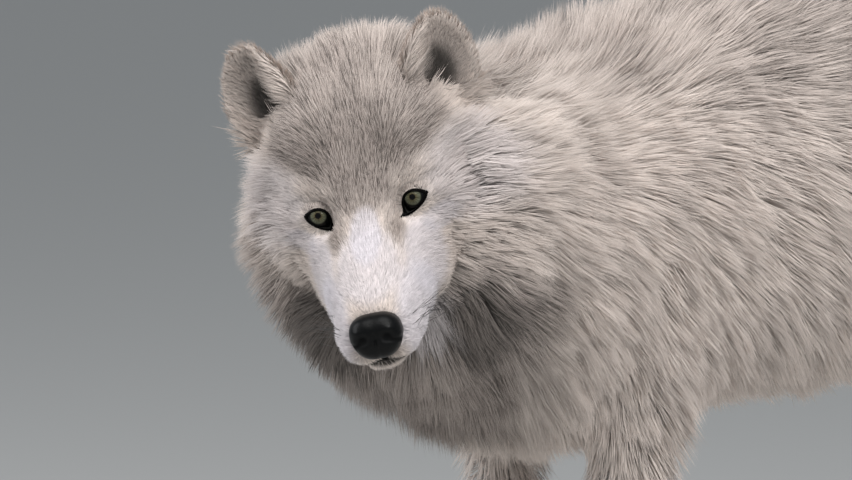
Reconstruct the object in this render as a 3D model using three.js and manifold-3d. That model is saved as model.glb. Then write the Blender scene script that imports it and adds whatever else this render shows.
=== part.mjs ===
// An arctic wolf in its winter coat, life size, standing square with its head carried low and turned
// to its left. Millimetres, +Z up; the wolf faces -Y and its own left side is +X. The solids reach out
// to the tips of the coat. All flesh is first joined into one solid, then parted by thin straight cuts.

import * as THREE from "three";
import { ParametricGeometry } from "three/addons/geometries/ParametricGeometry.js";
import { mergeVertices } from "three/addons/utils/BufferGeometryUtils.js";
import Module from "manifold-3d";

// ---- driving dimensions ----
const CUT = 0.3; // width of the thin cuts between neighbouring nodes
const BIG = 3000; // side of the blocks that do the cutting

const HEAD_PLACE = new THREE.Vector3(120, -295, 600); // midway between the eyes
const HEAD_TURN = 49; // degrees, to the wolf's left
const HEAD_DROP = 27; // degrees, nose below level
const HEAD_ROLL = 13.5; // degrees, left eye raised
const EYE_SPACING = 72;
const EYE_RADIUS = 12;
const EYE_LIFT = 32; // degrees each eye looks above the line of the muzzle

const FORE_PAW = { x: 72, y: -30, length: 122, width: 92, height: 62 };
const HIND_PAW = { x: 80, y: 562, length: 112, width: 84, height: 58 };
const PAD_LIFT = 3; // how far the round of a paw is sunk below the floor line, to be cut flat
const TOES = 4;

const HIP_HEIGHT = 560; // about which the legs are swung
// how far each leg stands ahead of (-) or behind (+) its place on a square stance
const STEP = { fore_left: 0, fore_right: 22, hind_left: 26, hind_right: -34 };

// where the body is parted: the tail, the neck, and for each pair of legs the front, back and inner
// side of the region that a leg is taken from, the height and slope of its top, and its ankle
const TAIL_CUT = { point: [0, 660, 0], normal: [0, 1, 0] };
const NECK_CUT = { point: [0, -70, 600], normal: [0.1, -1, 0.35] };
const LEG_CUTS = {
  fore: { front: -118, lean: -0.12, back: 92, inner: 4, top: 358, slope: 0.8, ankle: 66 },
  hind: { front: 420, lean: 0, back: 700, inner: 4, top: 396, slope: 1.15, ankle: 64 },
};

const COLOUR = { cream: 0xc4b5a8, pale: 0xd8d0cf, black: 0x0f1414, olive: 0x8c8c6e };

// ---- solids ----
const wasm = await Module();
wasm.setup();

// A closed geometry as a manifold solid, with its poles' collapsed triangles left out.
function solidOf(geometry) {
  const bare = geometry.clone();
  bare.deleteAttribute("normal");
  bare.deleteAttribute("uv");
  const merged = mergeVertices(bare, 1e-3);
  const index = merged.index.array;
  const kept = [];
  for (let i = 0; i < index.length; i += 3) {
    const [a, b, c] = [index[i], index[i + 1], index[i + 2]];
    if (a !== b && b !== c && c !== a) {
      kept.push(a, b, c);
    }
  }
  const mesh = new wasm.Mesh({
    numProp: 3,
    vertProperties: new Float32Array(merged.attributes.position.array),
    triVerts: new Uint32Array(kept),
  });
  const solid = new wasm.Manifold(mesh);
  if (solid.volume() < 0) {
    throw new Error("a solid is inside out");
  }
  return solid;
}

// The largest of a solid's separate bodies: slivers that a cut leaves are dropped.
function mainBody(solid) {
  const bodies = solid.decompose();
  return bodies.reduce((best, body) => (body.volume() > best.volume() ? body : best));
}

function joined(solids) {
  return solids.reduce((sum, solid) => sum.add(solid));
}

const RING_SPACING = 0.55; // 1 spaces a loft's rings evenly, 0 gathers them at its ends

// A body lofted along a smooth spine. Each station is [x, y, z, half width, half height up, half height
// down]; rings stand square to the spine, with `facing` giving their upward side. Both ends are domed.
function loft(stations, { facing = [0, 0, 1], rings = 24, sides = 20, dome = 0.12, power = 2 } = {}) {
  const spine = new THREE.CatmullRomCurve3(stations.map(([x, y, z]) => new THREE.Vector3(x, y, z)));
  const sizes = new THREE.CatmullRomCurve3(stations.map(([, , , w, u, d]) => new THREE.Vector3(w, u, d)));
  const upward = new THREE.Vector3(...facing);
  const place = (u, v, target) => {
    const along = (1 - Math.cos(Math.PI * u)) / 2;
    const t = THREE.MathUtils.lerp(along, u, RING_SPACING);
    const centre = spine.getPoint(t);
    const size = sizes.getPoint(t);
    const tangent = spine.getTangent(t);
    const side = new THREE.Vector3().crossVectors(tangent, upward).normalize();
    const up = new THREE.Vector3().crossVectors(side, tangent).normalize();
    const fromEnd = Math.min(1, Math.min(t, 1 - t) / dome);
    const round = Math.sqrt(Math.max(0, 1 - (1 - fromEnd) ** 2));
    const angle = 2 * Math.PI * v;
    const across = Math.sign(Math.cos(angle)) * Math.abs(Math.cos(angle)) ** (2 / power);
    const rise = Math.sign(Math.sin(angle)) * Math.abs(Math.sin(angle)) ** (2 / power);
    const high = rise > 0 ? size.y : size.z;
    target.copy(centre).addScaledVector(side, round * size.x * across);
    target.addScaledVector(up, round * high * rise);
  };
  return solidOf(new ParametricGeometry(place, rings, sides));
}

// An ellipsoid of three radii, leant over by angles in degrees.
function bulge(centre, radii, lean = [0, 0, 0], detail = [14, 10]) {
  const ball = new THREE.SphereGeometry(1, ...detail);
  ball.scale(...radii);
  const [x, y, z] = lean.map(THREE.MathUtils.degToRad);
  ball.applyMatrix4(new THREE.Matrix4().makeRotationFromEuler(new THREE.Euler(x, y, z)));
  ball.translate(...centre);
  return solidOf(ball);
}

// A big block that lies on the far side of a plane, along the plane's normal, `inset` beyond it.
function blockBeyond(point, normal, inset = 0) {
  const block = new THREE.BoxGeometry(BIG, BIG, BIG);
  const direction = new THREE.Vector3(...normal).normalize();
  const turn = new THREE.Quaternion().setFromUnitVectors(new THREE.Vector3(0, 0, 1), direction);
  block.applyQuaternion(turn);
  const middle = new THREE.Vector3(...point).addScaledVector(direction, BIG / 2 + inset);
  block.translate(middle.x, middle.y, middle.z);
  return solidOf(block);
}

// Parts a solid by planes: the piece beyond all of them, and the rest, a thin cut apart.
function parted(whole, planes) {
  const region = (inset) =>
    planes
      .map(({ point, normal }) => blockBeyond(point, normal, inset))
      .reduce((common, block) => common.intersect(block));
  const piece = whole.intersect(region(CUT / 2));
  const rest = whole.subtract(region(-CUT / 2));
  return [mainBody(piece), mainBody(rest)];
}

function mirrored(stations, side) {
  return stations.map(([x, ...others]) => [x * side, ...others]);
}

function sideOf(name) {
  return name.endsWith("left") ? 1 : -1;
}

// Swings a leg's stations fore or aft from a height, `reach`, at which it stays in place.
function swung(stations, ahead, reach) {
  return stations.map(([x, y, z, ...sizes]) => {
    const share = 1 - Math.min(1, z / reach);
    return [x, y + ahead * share, z, ...sizes];
  });
}

// ---- head, in its own frame: x to the wolf's left, -y toward the nose, z up, eyes at the origin ----
const headMatrix = new THREE.Matrix4()
  .makeTranslation(HEAD_PLACE)
  .multiply(new THREE.Matrix4().makeRotationZ(THREE.MathUtils.degToRad(HEAD_TURN)))
  .multiply(new THREE.Matrix4().makeRotationX(THREE.MathUtils.degToRad(HEAD_DROP)))
  .multiply(new THREE.Matrix4().makeRotationY(THREE.MathUtils.degToRad(-HEAD_ROLL)));

function onHead(solid) {
  return solid.transform(headMatrix.elements);
}

// Head stations run from the lips back to the nape: forward, top, bottom, half width.
const HEAD_PROFILE = [
  [116, -46, -66, 20],
  [105, -28, -80, 33],
  [84, -19, -84, 39],
  [60, -12, -86, 43],
  [36, -5, -88, 48],
  [14, 6, -92, 54],
  [-10, 32, -98, 65],
  [-38, 60, -108, 80],
  [-68, 78, -114, 94],
  [-100, 83, -116, 102],
  [-132, 76, -108, 98],
  [-160, 60, -92, 84],
];

// Rounded masses on the left side of the head, each mirrored for the right: the ruff of fur on a cheek,
// the brow over an eye, the hollow of an ear, and the opening of the lids, set ahead of the pupil.
const CHEEK = { centre: [62, 86, -54], radii: [52, 66, 74], lean: [18, -10, 10] };
const BROW = { centre: [31, 22, 15], radii: [20, 18, 14], lean: [-20, 12, 0] };
const EAR_CUP = { centre: [74, 62, 70], radii: [22, 20, 33], lean: [-4, 14, -22] };
const EYE_OPENING = { ahead: 8, radii: [15, 18, 10.5], lean: [-EYE_LIFT, -20, 10] };
const NOSE = { centre: [0, -106, -45], radii: [22, 16, 18], lean: [-24, 0, 0] };

function sidedBulge({ centre, radii, lean }, side, grow, detail) {
  const [x, y, z] = centre;
  const sizes = radii.map((radius) => radius + grow);
  return bulge([side * x, y, z], sizes, [lean[0], side * lean[1], side * lean[2]], detail);
}

function skull(grow) {
  const stations = HEAD_PROFILE.map(([forward, top, bottom, half]) => {
    const middle = (top + bottom) / 2;
    return [0, -forward, middle, half + grow, top - middle + grow, middle - bottom + grow];
  });
  return loft(stations, { rings: 20, sides: 18, dome: 0.05, power: 2.2 });
}

function headShape(grow) {
  const cheeks = [1, -1].map((side) => sidedBulge(CHEEK, side, grow, [12, 8]));
  return onHead(joined([skull(grow), ...cheeks]));
}

// An ear is a rounded leaf, thick with fur, standing on the side of the crown and cupped forward.
const EAR = { base: [61, 86, 32], tip: [77, 90, 101], halfWidth: 35, halfDepth: 15 };

function ear(side, grow) {
  const [bx, by, bz] = EAR.base;
  const [tx, ty, tz] = EAR.tip;
  const station = (share, width, depth) => [
    side * THREE.MathUtils.lerp(bx, tx, share),
    THREE.MathUtils.lerp(by, ty, share),
    THREE.MathUtils.lerp(bz, tz, share),
    width * EAR.halfWidth + grow,
    depth * EAR.halfDepth + grow,
    depth * EAR.halfDepth + grow,
  ];
  const stations = [
    station(-0.2, 1.0, 1.2),
    station(0.05, 1.06, 1.3),
    station(0.35, 1.02, 1.1),
    station(0.65, 0.86, 0.8),
    station(0.88, 0.6, 0.6),
    station(1, 0.34, 0.42),
  ];
  return loft(stations, { facing: [side * -0.42, 1, 0], rings: 10, sides: 12, dome: 0.14 });
}

// A point along the line in which an eye looks, ahead of its pupil or, if negative, behind it.
function gazePoint(side, distance) {
  const lift = THREE.MathUtils.degToRad(EYE_LIFT);
  return [(side * EYE_SPACING) / 2, -distance * Math.cos(lift), distance * Math.sin(lift)];
}

function eyeball(side, radius) {
  return bulge(gazePoint(side, -EYE_RADIUS), [radius, radius, radius], [0, 0, 0], [12, 8]);
}

// The almond opening of the lids, cut through the coat in front of each eye.
function eyeOpening(side) {
  const centre = gazePoint(1, EYE_OPENING.ahead);
  return sidedBulge({ ...EYE_OPENING, centre }, side, 0, [9, 6]);
}

function nosePad(grow) {
  return sidedBulge(NOSE, 1, grow, [14, 8]);
}

// ---- neck and trunk in one, and tail ----
function torso() {
  return loft(
    [
      [84, -258, 628, 122, 80, 150],
      [66, -222, 620, 132, 90, 165],
      [40, -165, 602, 130, 94, 168],
      [18, -105, 584, 140, 100, 182],
      [6, -40, 574, 150, 120, 190],
      [0, 35, 570, 155, 148, 184],
      [0, 110, 572, 156, 170, 166],
      [0, 200, 574, 153, 174, 170],
      [0, 290, 578, 147, 162, 168],
      [0, 380, 585, 140, 150, 158],
      [0, 465, 592, 134, 143, 145],
      [0, 545, 597, 128, 134, 126],
      [0, 610, 600, 112, 112, 114],
      [0, 656, 598, 80, 80, 88],
    ],
    { rings: 25, sides: 18, dome: 0.07, power: 2.1 },
  );
}

function tail() {
  return loft(
    [
      [0, 600, 672, 30, 32, 32],
      [0, 652, 656, 38, 38, 40],
      [0, 694, 606, 50, 46, 46],
      [-2, 714, 530, 60, 50, 50],
      [-5, 720, 450, 63, 54, 54],
      [-9, 718, 372, 52, 46, 46],
      [-12, 712, 300, 30, 28, 28],
      [-13, 709, 262, 12, 12, 12],
    ],
    { facing: [0, 1, 0.35], rings: 14, sides: 10, dome: 0.08 },
  );
}

// ---- legs and paws ----
const FORE_LEG = [
  [92, 22, 600, 44, 70, 70],
  [94, 8, 520, 52, 68, 66],
  [88, 10, 440, 47, 56, 56],
  [81, 8, 370, 39, 44, 47],
  [76, 4, 290, 32, 35, 38],
  [73, 0, 220, 28, 30, 33],
  [72, -2, 180, 29, 31, 32],
  [72, -6, 128, 26, 28, 28],
  [72, -14, 80, 30, 31, 31],
  [72, -22, 38, 34, 33, 37],
];

const HIND_LEG = [
  [82, 560, 640, 52, 84, 84],
  [88, 548, 560, 60, 96, 96],
  [92, 520, 470, 57, 82, 84],
  [91, 512, 400, 48, 60, 62],
  [88, 540, 330, 38, 46, 44],
  [85, 580, 272, 29, 36, 34],
  [82, 602, 218, 26, 34, 29],
  [80, 596, 150, 24, 27, 26],
  [80, 585, 90, 27, 29, 28],
  [80, 574, 38, 32, 31, 34],
];

const HAUNCH = { centre: [82, 552, 548], radii: [58, 97, 112], lean: [14, 0, 0] };

const CLAW = { width: 0.4, droop: 18, sides: 5 }; // width is a share of its length, droop in degrees

function claw(x, y, z, length) {
  const cone = new THREE.ConeGeometry((length * CLAW.width) / 2, length, CLAW.sides);
  cone.rotateX(THREE.MathUtils.degToRad(180 + CLAW.droop));
  return solidOf(cone.translate(x, y, z));
}

// Shares of a paw's own [width, length, height]: the round body, a toe and where each stands.
const PAW_BODY = { behind: 0.1, high: 0.42, radii: [0.42, 0.4, 0.56] };
const TOE = { pitch: 0.235, middle: 0.27, outer: 0.17, high: 0.27, radii: [0.155, 0.24, 0.33], fan: -9 };
const CLAW_PLACE = { splay: 0.034, ahead: 0.22, high: 0.24, length: 0.2 };

// A paw: a low rounded body, four toes side by side and a claw at the end of each.
function paw(size, side, ahead) {
  const { length, width, height } = size;
  const radiiOf = (shares) => [shares[0] * width, shares[1] * length, shares[2] * height];
  const x = side * size.x;
  const y = size.y + ahead;
  const middle = [x, y + length * PAW_BODY.behind, height * PAW_BODY.high];
  const pieces = [bulge(middle, radiiOf(PAW_BODY.radii), [0, 0, 0], [9, 6])];
  for (let i = 0; i < TOES; i += 1) {
    const spread = i - (TOES - 1) / 2;
    const forward = Math.abs(spread) < 1 ? TOE.middle : TOE.outer;
    const toeX = x + spread * width * TOE.pitch;
    const toeY = y - length * forward;
    const toe = [toeX, toeY, height * TOE.high];
    pieces.push(bulge(toe, radiiOf(TOE.radii), [0, 0, spread * TOE.fan], [6, 4]));
    const clawX = toeX + spread * length * CLAW_PLACE.splay;
    const clawY = toeY - length * CLAW_PLACE.ahead;
    pieces.push(claw(clawX, clawY, height * CLAW_PLACE.high, length * CLAW_PLACE.length));
  }
  return joined(pieces).translate(0, 0, -PAD_LIFT);
}

function leg(name, side) {
  const fore = name.startsWith("fore");
  const ahead = STEP[name];
  const [stations, size] = fore ? [FORE_LEG, FORE_PAW] : [HIND_LEG, HIND_PAW];
  const limb = loft(swung(mirrored(stations, side), ahead, HIP_HEIGHT), {
    facing: [0, 1, 0],
    rings: 14,
    sides: 11,
    dome: 0.06,
  });
  const foot = paw(size, side, ahead);
  return fore ? limb.add(foot) : joined([limb, foot, sidedBulge(HAUNCH, side, 0, [12, 7])]);
}

// ---- the parts, taken from the whole ----
const sides = { left: 1, right: -1 };
const nodes = {};
const openings = joined(
  Object.values(sides).flatMap((side) => [eyeball(side, EYE_RADIUS + CUT), eyeOpening(side)]),
);
const brows = onHead(joined([1, -1].map((side) => sidedBulge(BROW, side, 0, [8, 6]))));
nodes.head = mainBody(headShape(0).add(brows).subtract(onHead(openings.add(nosePad(CUT)))));
nodes.nose = onHead(nosePad(0));
const headRoom = headShape(CUT);
const earRoom = onHead(joined(Object.values(sides).map((side) => ear(side, CUT))));
for (const [name, side] of Object.entries(sides)) {
  nodes[`eye_${name}`] = onHead(eyeball(side, EYE_RADIUS));
  const hollow = sidedBulge(EAR_CUP, side, 0, [10, 7]);
  nodes[`ear_${name}`] = mainBody(onHead(ear(side, 0).subtract(hollow)).subtract(headRoom));
}

const body = joined([torso(), tail(), ...Object.keys(STEP).map((name) => leg(name, sideOf(name)))]);
const standing = body.intersect(blockBeyond([0, 0, 0], [0, 0, 1]));
let rest = mainBody(standing.subtract(headRoom).subtract(earRoom));
[nodes.tail, rest] = parted(rest, [TAIL_CUT]);
for (const name of Object.keys(STEP)) {
  const side = sideOf(name);
  const cut = name.startsWith("fore") ? LEG_CUTS.fore : LEG_CUTS.hind;
  const front = { point: [0, cut.front, 0], normal: [0, 1, cut.lean] };
  const back = { point: [0, cut.back, 0], normal: [0, -1, 0] };
  const inner = { point: [side * cut.inner, 0, 0], normal: [side, 0, 0] };
  const under = { point: [0, 0, cut.top], normal: [side * cut.slope, 0, -1] };
  const ankle = { point: [0, 0, cut.ankle], normal: [0, 0, -1] };
  const [limb, others] = parted(rest, [front, back, inner, under]);
  rest = others;
  [nodes[`paw_${name}`], nodes[`leg_${name}`]] = parted(limb, [ankle]);
}
[nodes.neck, nodes.trunk] = parted(rest, [NECK_CUT]);

// ---- meshes ----
function finish(name) {
  if (name.startsWith("eye")) {
    return { color: COLOUR.olive, roughness: 0.1, metalness: 0 };
  }
  if (name === "nose") {
    return { color: COLOUR.black, roughness: 0.45, metalness: 0 };
  }
  const pale = name === "head" || name.startsWith("paw");
  return { color: pale ? COLOUR.pale : COLOUR.cream, roughness: 0.9, metalness: 0 };
}

function meshOf(name, solid, offset) {
  const { vertProperties, triVerts } = solid.getMesh();
  const geometry = new THREE.BufferGeometry();
  geometry.setAttribute("position", new THREE.BufferAttribute(vertProperties, 3));
  geometry.setIndex(new THREE.BufferAttribute(triVerts, 1));
  geometry.translate(...offset);
  const mesh = new THREE.Mesh(geometry, new THREE.MeshStandardMaterial(finish(name)));
  mesh.name = name;
  return mesh;
}

// the origin is on the floor, under the middle of the animal's own box
const box = new THREE.Box3();
for (const solid of Object.values(nodes)) {
  const { min, max } = solid.boundingBox();
  box.expandByPoint(new THREE.Vector3(...min));
  box.expandByPoint(new THREE.Vector3(...max));
}
const middle = box.getCenter(new THREE.Vector3());
const wolf = new THREE.Group();
for (const [name, solid] of Object.entries(nodes)) {
  wolf.add(meshOf(name, solid, [-middle.x, -middle.y, -box.min.z]));
}

export default wolf;
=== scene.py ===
import math

import bmesh
import bpy
import numpy as np
from mathutils import Matrix, Vector, kdtree
from mathutils.bvhtree import BVHTree


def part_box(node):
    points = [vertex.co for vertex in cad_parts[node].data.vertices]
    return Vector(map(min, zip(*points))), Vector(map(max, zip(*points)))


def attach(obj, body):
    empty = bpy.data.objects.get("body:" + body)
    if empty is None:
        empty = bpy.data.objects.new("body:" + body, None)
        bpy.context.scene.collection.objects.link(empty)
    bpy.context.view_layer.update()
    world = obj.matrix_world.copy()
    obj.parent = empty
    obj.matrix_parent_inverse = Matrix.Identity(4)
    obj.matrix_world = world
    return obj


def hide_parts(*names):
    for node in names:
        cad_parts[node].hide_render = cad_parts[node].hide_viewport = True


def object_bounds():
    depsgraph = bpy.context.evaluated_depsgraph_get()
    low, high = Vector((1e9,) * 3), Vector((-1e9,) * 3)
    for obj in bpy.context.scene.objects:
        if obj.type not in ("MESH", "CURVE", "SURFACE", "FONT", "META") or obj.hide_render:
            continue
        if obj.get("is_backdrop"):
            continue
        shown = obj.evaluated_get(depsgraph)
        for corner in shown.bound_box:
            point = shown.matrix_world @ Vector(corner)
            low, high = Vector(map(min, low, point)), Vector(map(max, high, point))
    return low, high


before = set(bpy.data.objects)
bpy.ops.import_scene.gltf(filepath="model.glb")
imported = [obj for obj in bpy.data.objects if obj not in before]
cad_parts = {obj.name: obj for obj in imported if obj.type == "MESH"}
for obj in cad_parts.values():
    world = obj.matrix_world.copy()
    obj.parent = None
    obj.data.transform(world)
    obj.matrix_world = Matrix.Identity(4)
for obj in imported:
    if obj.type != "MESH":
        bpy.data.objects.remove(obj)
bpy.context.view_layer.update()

# ---- floor, light and camera ----
# A pale seamless floor far wider than the animal, a large soft lamp overhead, a dimmer one on each
# side and a small one for the gleam in the eyes, and a long lens looking down on the turned head.
FLOOR_SIZE = 80.0
FLOOR_GREY = (0.52, 0.52, 0.51)
CAMERA_AZIMUTH = math.radians(50)
CAMERA_HEIGHT = math.radians(6)
CAMERA_DISTANCE = 5.0
CAMERA_LENS = 285.5  # mm, on the standard 36 mm sensor
AIM_ASIDE = 0.0451  # the middle of the view lies this far right of the midpoint between the eyes
AIM_BELOW = 0.0249

# The head's own axes: x to the wolf's left, y back from the nose, z up, with the origin midway
# between the pupils. They come from the eyeballs and the nose pad.
EYE_RADIUS = 0.012
GAZE_LIFT = math.radians(32)  # each eye looks this far above the line of the muzzle
NOSE_BELOW = math.radians(18.4)  # from the eyeballs, the nose pad lies this far below that line


def middle_of(node):
    low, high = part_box(node)
    return (low + high) / 2


def head_axes():
    left, right = middle_of("eye_left"), middle_of("eye_right")
    across = (left - right).normalized()
    to_nose = middle_of("nose") - (left + right) / 2
    back = -(to_nose - across * to_nose.dot(across)).normalized()
    up = across.cross(back)
    ahead = back * math.cos(NOSE_BELOW) - up * math.sin(NOSE_BELOW)
    top = back * math.sin(NOSE_BELOW) + up * math.cos(NOSE_BELOW)
    turn = Matrix((across, ahead, top)).transposed()
    ball = Vector((0, EYE_RADIUS * math.cos(GAZE_LIFT), -EYE_RADIUS * math.sin(GAZE_LIFT)))
    return turn, (left + right) / 2 - turn @ ball


head_turn, head_origin = head_axes()


def plain_material(name, colour, roughness):
    material = bpy.data.materials.new(name)
    material.use_nodes = True
    shader = material.node_tree.nodes["Principled BSDF"]
    shader.inputs["Base Color"].default_value = (*colour, 1)
    shader.inputs["Roughness"].default_value = roughness
    return material


def new_piece(name, mesh):
    piece = bpy.data.objects.new(name, mesh)
    bpy.context.scene.collection.objects.link(piece)
    return piece


def mesh_from(shape, name):
    """The finished mesh of a bmesh, which is then let go."""
    mesh = bpy.data.meshes.new(name)
    shape.to_mesh(mesh)
    shape.free()
    return mesh


shape = bmesh.new()
bmesh.ops.create_grid(shape, x_segments=1, y_segments=1, size=FLOOR_SIZE / 2)
floor = new_piece("floor", mesh_from(shape, "floor"))
floor.data.materials.append(plain_material("pale floor", FLOOR_GREY, 0.9))
floor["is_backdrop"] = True

LAMPS = [  # name, place, width, power, colour, and the point it is aimed at
    ("overhead", (1.2, -1.3, 3.3), 3.2, 86, (1.0, 0.99, 0.98), (0, -0.1, 0.4)),
    ("right fill", (-1.8, -2.8, 2.1), 2.4, 48, (0.97, 0.98, 1.0), (0, -0.4, 0.5)),
    ("catch light", (2.6, -1.1, 2.3), 0.5, 30, (1.0, 1.0, 1.0), (0.1, -0.35, 0.6)),
    ("left fill", (3.1, 0.4, 2.6), 2.4, 8, (0.98, 0.98, 1.0), (0, -0.2, 0.5)),
]
SKY_COLOUR = (0.9, 0.95, 1.0, 1)
SKY_STRENGTH = 0.38


def add_lamp(name, place, size, energy, colour, target):
    lamp = bpy.data.lights.new(name, "AREA")
    lamp.shape = "DISK"
    lamp.size = size
    lamp.energy = energy
    lamp.color = colour
    holder = bpy.data.objects.new(name, lamp)
    bpy.context.scene.collection.objects.link(holder)
    holder.location = place
    holder.rotation_euler = (Vector(target) - Vector(place)).to_track_quat("-Z", "Y").to_euler()


for lamp_row in LAMPS:
    add_lamp(*lamp_row)

world = bpy.data.worlds.new("studio")
world.use_nodes = True
sky = world.node_tree.nodes["Background"]
sky.inputs["Color"].default_value = SKY_COLOUR
sky.inputs["Strength"].default_value = SKY_STRENGTH
bpy.context.scene.world = world
bpy.context.scene.view_settings.view_transform = "Standard"

camera_back = Vector(
    (
        math.sin(CAMERA_AZIMUTH) * math.cos(CAMERA_HEIGHT),
        -math.cos(CAMERA_AZIMUTH) * math.cos(CAMERA_HEIGHT),
        math.sin(CAMERA_HEIGHT),
    )
)
camera_right = Vector((math.cos(CAMERA_AZIMUTH), math.sin(CAMERA_AZIMUTH), 0))
camera_up = camera_back.cross(camera_right)
camera_aim = head_origin + camera_right * AIM_ASIDE - camera_up * AIM_BELOW
camera = bpy.data.objects.new("camera", bpy.data.cameras.new("camera"))
camera.data.lens = CAMERA_LENS
camera.data.clip_end = 100
camera.location = camera_aim + camera_back * CAMERA_DISTANCE
camera.rotation_euler = camera_back.to_track_quat("Z", "Y").to_euler()
bpy.context.scene.collection.objects.link(camera)
bpy.context.scene.camera = camera

# ---- the lie of the coat ----
# A winter coat: dense woolly underfur with long guard hairs that all lie the same way in any one
# place. This section makes no piece: it holds how the coat lies, for the skin and the hair to use.
TAIL_REACH = 0.7717  # from midway between the shoulders back to the rearmost hair of the tail
body_middle = (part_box("paw_fore_left")[0].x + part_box("paw_fore_right")[1].x) / 2
BODY_ORIGIN = np.array([body_middle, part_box("tail")[1].y - TAIL_REACH, 0])
HEAD_TURN = np.array(head_turn)
HEAD_ORIGIN = np.array(head_origin)


def from_head(points):
    """Points given in mm on the head's own axes, in the row frame."""
    return HEAD_ORIGIN + (np.asarray(points, float) * 0.001) @ HEAD_TURN.T


# A row for each place on the left side, which the right side mirrors: (place), (way the hairs
# point), length of hair, depth of the coat over the skin, all in mm. Body rows are measured from
# the floor point midway between the shoulders, head rows on the head's axes.
BODY_LIE = {
    "neck": [
        ((0, -205, 700), (0, 0.8, 0.3), 66, 46),
        ((60, -200, 690), (0.1, 0.9, 0.1), 64, 44),
        ((125, -205, 640), (0.15, 0.95, -0.12), 60, 42),
        ((150, -150, 580), (0.05, 0.8, -0.5), 66, 44),
        ((120, -120, 650), (0.05, 0.95, -0.25), 66, 44),
        ((0, -100, 690), (0, 1, 0.05), 70, 44),
        ((150, -90, 540), (0, 0.7, -0.75), 68, 44),
    ],
    "chest": [
        ((120, -215, 520), (0, 0.4, -0.95), 72, 44),
        ((60, -255, 480), (0, 0.12, -1), 74, 46),
        ((0, -200, 440), (0, 0.25, -0.97), 74, 46),
        ((130, -130, 460), (0, 0.4, -0.92), 70, 42),
        ((60, -100, 405), (0, 0.45, -0.9), 74, 44),
    ],
    "shoulder": [
        ((145, -20, 620), (0, 0.85, -0.55), 58, 36),
        ((150, -20, 520), (0, 0.55, -0.85), 56, 34),
        ((125, -30, 440), (0, 0.25, -0.97), 48, 28),
        ((110, 70, 430), (0, 0.35, -0.95), 56, 30),
        ((0, -20, 700), (0, 1, 0), 64, 40),
    ],
    "back": [
        ((0, 110, 742), (0, 1, -0.02), 56, 34),
        ((0, 300, 738), (0, 1, -0.05), 50, 30),
        ((0, 500, 728), (0, 1, -0.2), 48, 28),
        ((0, 640, 680), (0, 0.7, -0.7), 50, 30),
        ((100, 200, 700), (0, 0.95, -0.35), 52, 32),
        ((95, 450, 690), (0, 0.9, -0.45), 46, 27),
    ],
    "flank": [
        ((150, 130, 570), (0, 0.8, -0.6), 52, 32),
        ((145, 290, 560), (0, 0.8, -0.6), 50, 30),
        ((135, 420, 560), (0, 0.72, -0.7), 46, 27),
        ((0, 60, 392), (0, 0.8, -0.6), 52, 32),
        ((0, 250, 412), (0, 0.85, -0.5), 48, 28),
        ((0, 430, 440), (0, 0.8, -0.6), 38, 20),
        ((90, 200, 440), (0, 0.6, -0.8), 54, 30),
    ],
    "haunch": [
        ((135, 540, 590), (0, 0.6, -0.8), 42, 25),
        ((140, 560, 500), (0, 0.4, -0.92), 38, 21),
        ((80, 648, 560), (0, 0.25, -0.97), 46, 26),
        ((110, 500, 440), (0, 0.2, -0.97), 30, 15),
        ((105, 600, 400), (0, 0.3, -0.95), 36, 18),
        ((40, 560, 480), (0, 0.1, -1), 26, 12),
    ],
    "fore_leg": [
        ((92, -52, 400), (0, 0.05, -1), 30, 15),
        ((90, 60, 380), (0, 0.3, -0.95), 42, 20),
        ((76, -30, 290), (0, 0, -1), 17, 7),
        ((76, 42, 290), (0, 0.2, -1), 26, 10),
        ((72, -30, 170), (0, 0, -1), 13, 5),
        ((72, 28, 170), (0, 0.15, -1), 17, 6.5),
        ((72, -30, 90), (0, -0.15, -1), 12, 4.5),
    ],
    "hind_leg": [
        ((92, 470, 390), (0, 0.25, -0.95), 24, 10),
        ((92, 560, 380), (0, 0.35, -0.93), 30, 14),
        ((86, 565, 260), (0, 0.25, -0.95), 16, 7),
        ((86, 625, 250), (0, 0.35, -0.93), 24, 9),
        ((80, 570, 150), (0, 0, -1), 12, 5),
        ((80, 620, 150), (0, 0.1, -1), 15, 6),
        ((80, 560, 90), (0, -0.15, -1), 12, 4.5),
    ],
    "paw": [
        ((72, -60, 55), (0, -0.9, -0.45), 7, 2.6),
        ((72, -90, 20), (0, -0.8, -0.6), 5, 1.6),
        ((72, 20, 30), (0, -0.2, -1), 10, 4),
        ((110, -30, 25), (0.2, -0.7, -0.7), 9, 3.5),
        ((80, 530, 50), (0, -0.9, -0.45), 7, 2.6),
        ((80, 500, 20), (0, -0.8, -0.6), 5, 1.6),
        ((80, 610, 30), (0, -0.2, -1), 10, 4),
    ],
    "tail": [
        ((0, 690, 660), (0, 0.5, -0.87), 58, 26),
        ((0, 768, 560), (0, 0.12, -1), 70, 36),
        ((52, 715, 500), (0.1, 0, -1), 66, 36),
        ((-5, 668, 480), (0, -0.1, -1), 60, 32),
        ((-8, 772, 420), (0, 0.05, -1), 72, 38),
        ((-12, 715, 300), (0, 0, -1), 60, 18),
    ],
}
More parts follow.
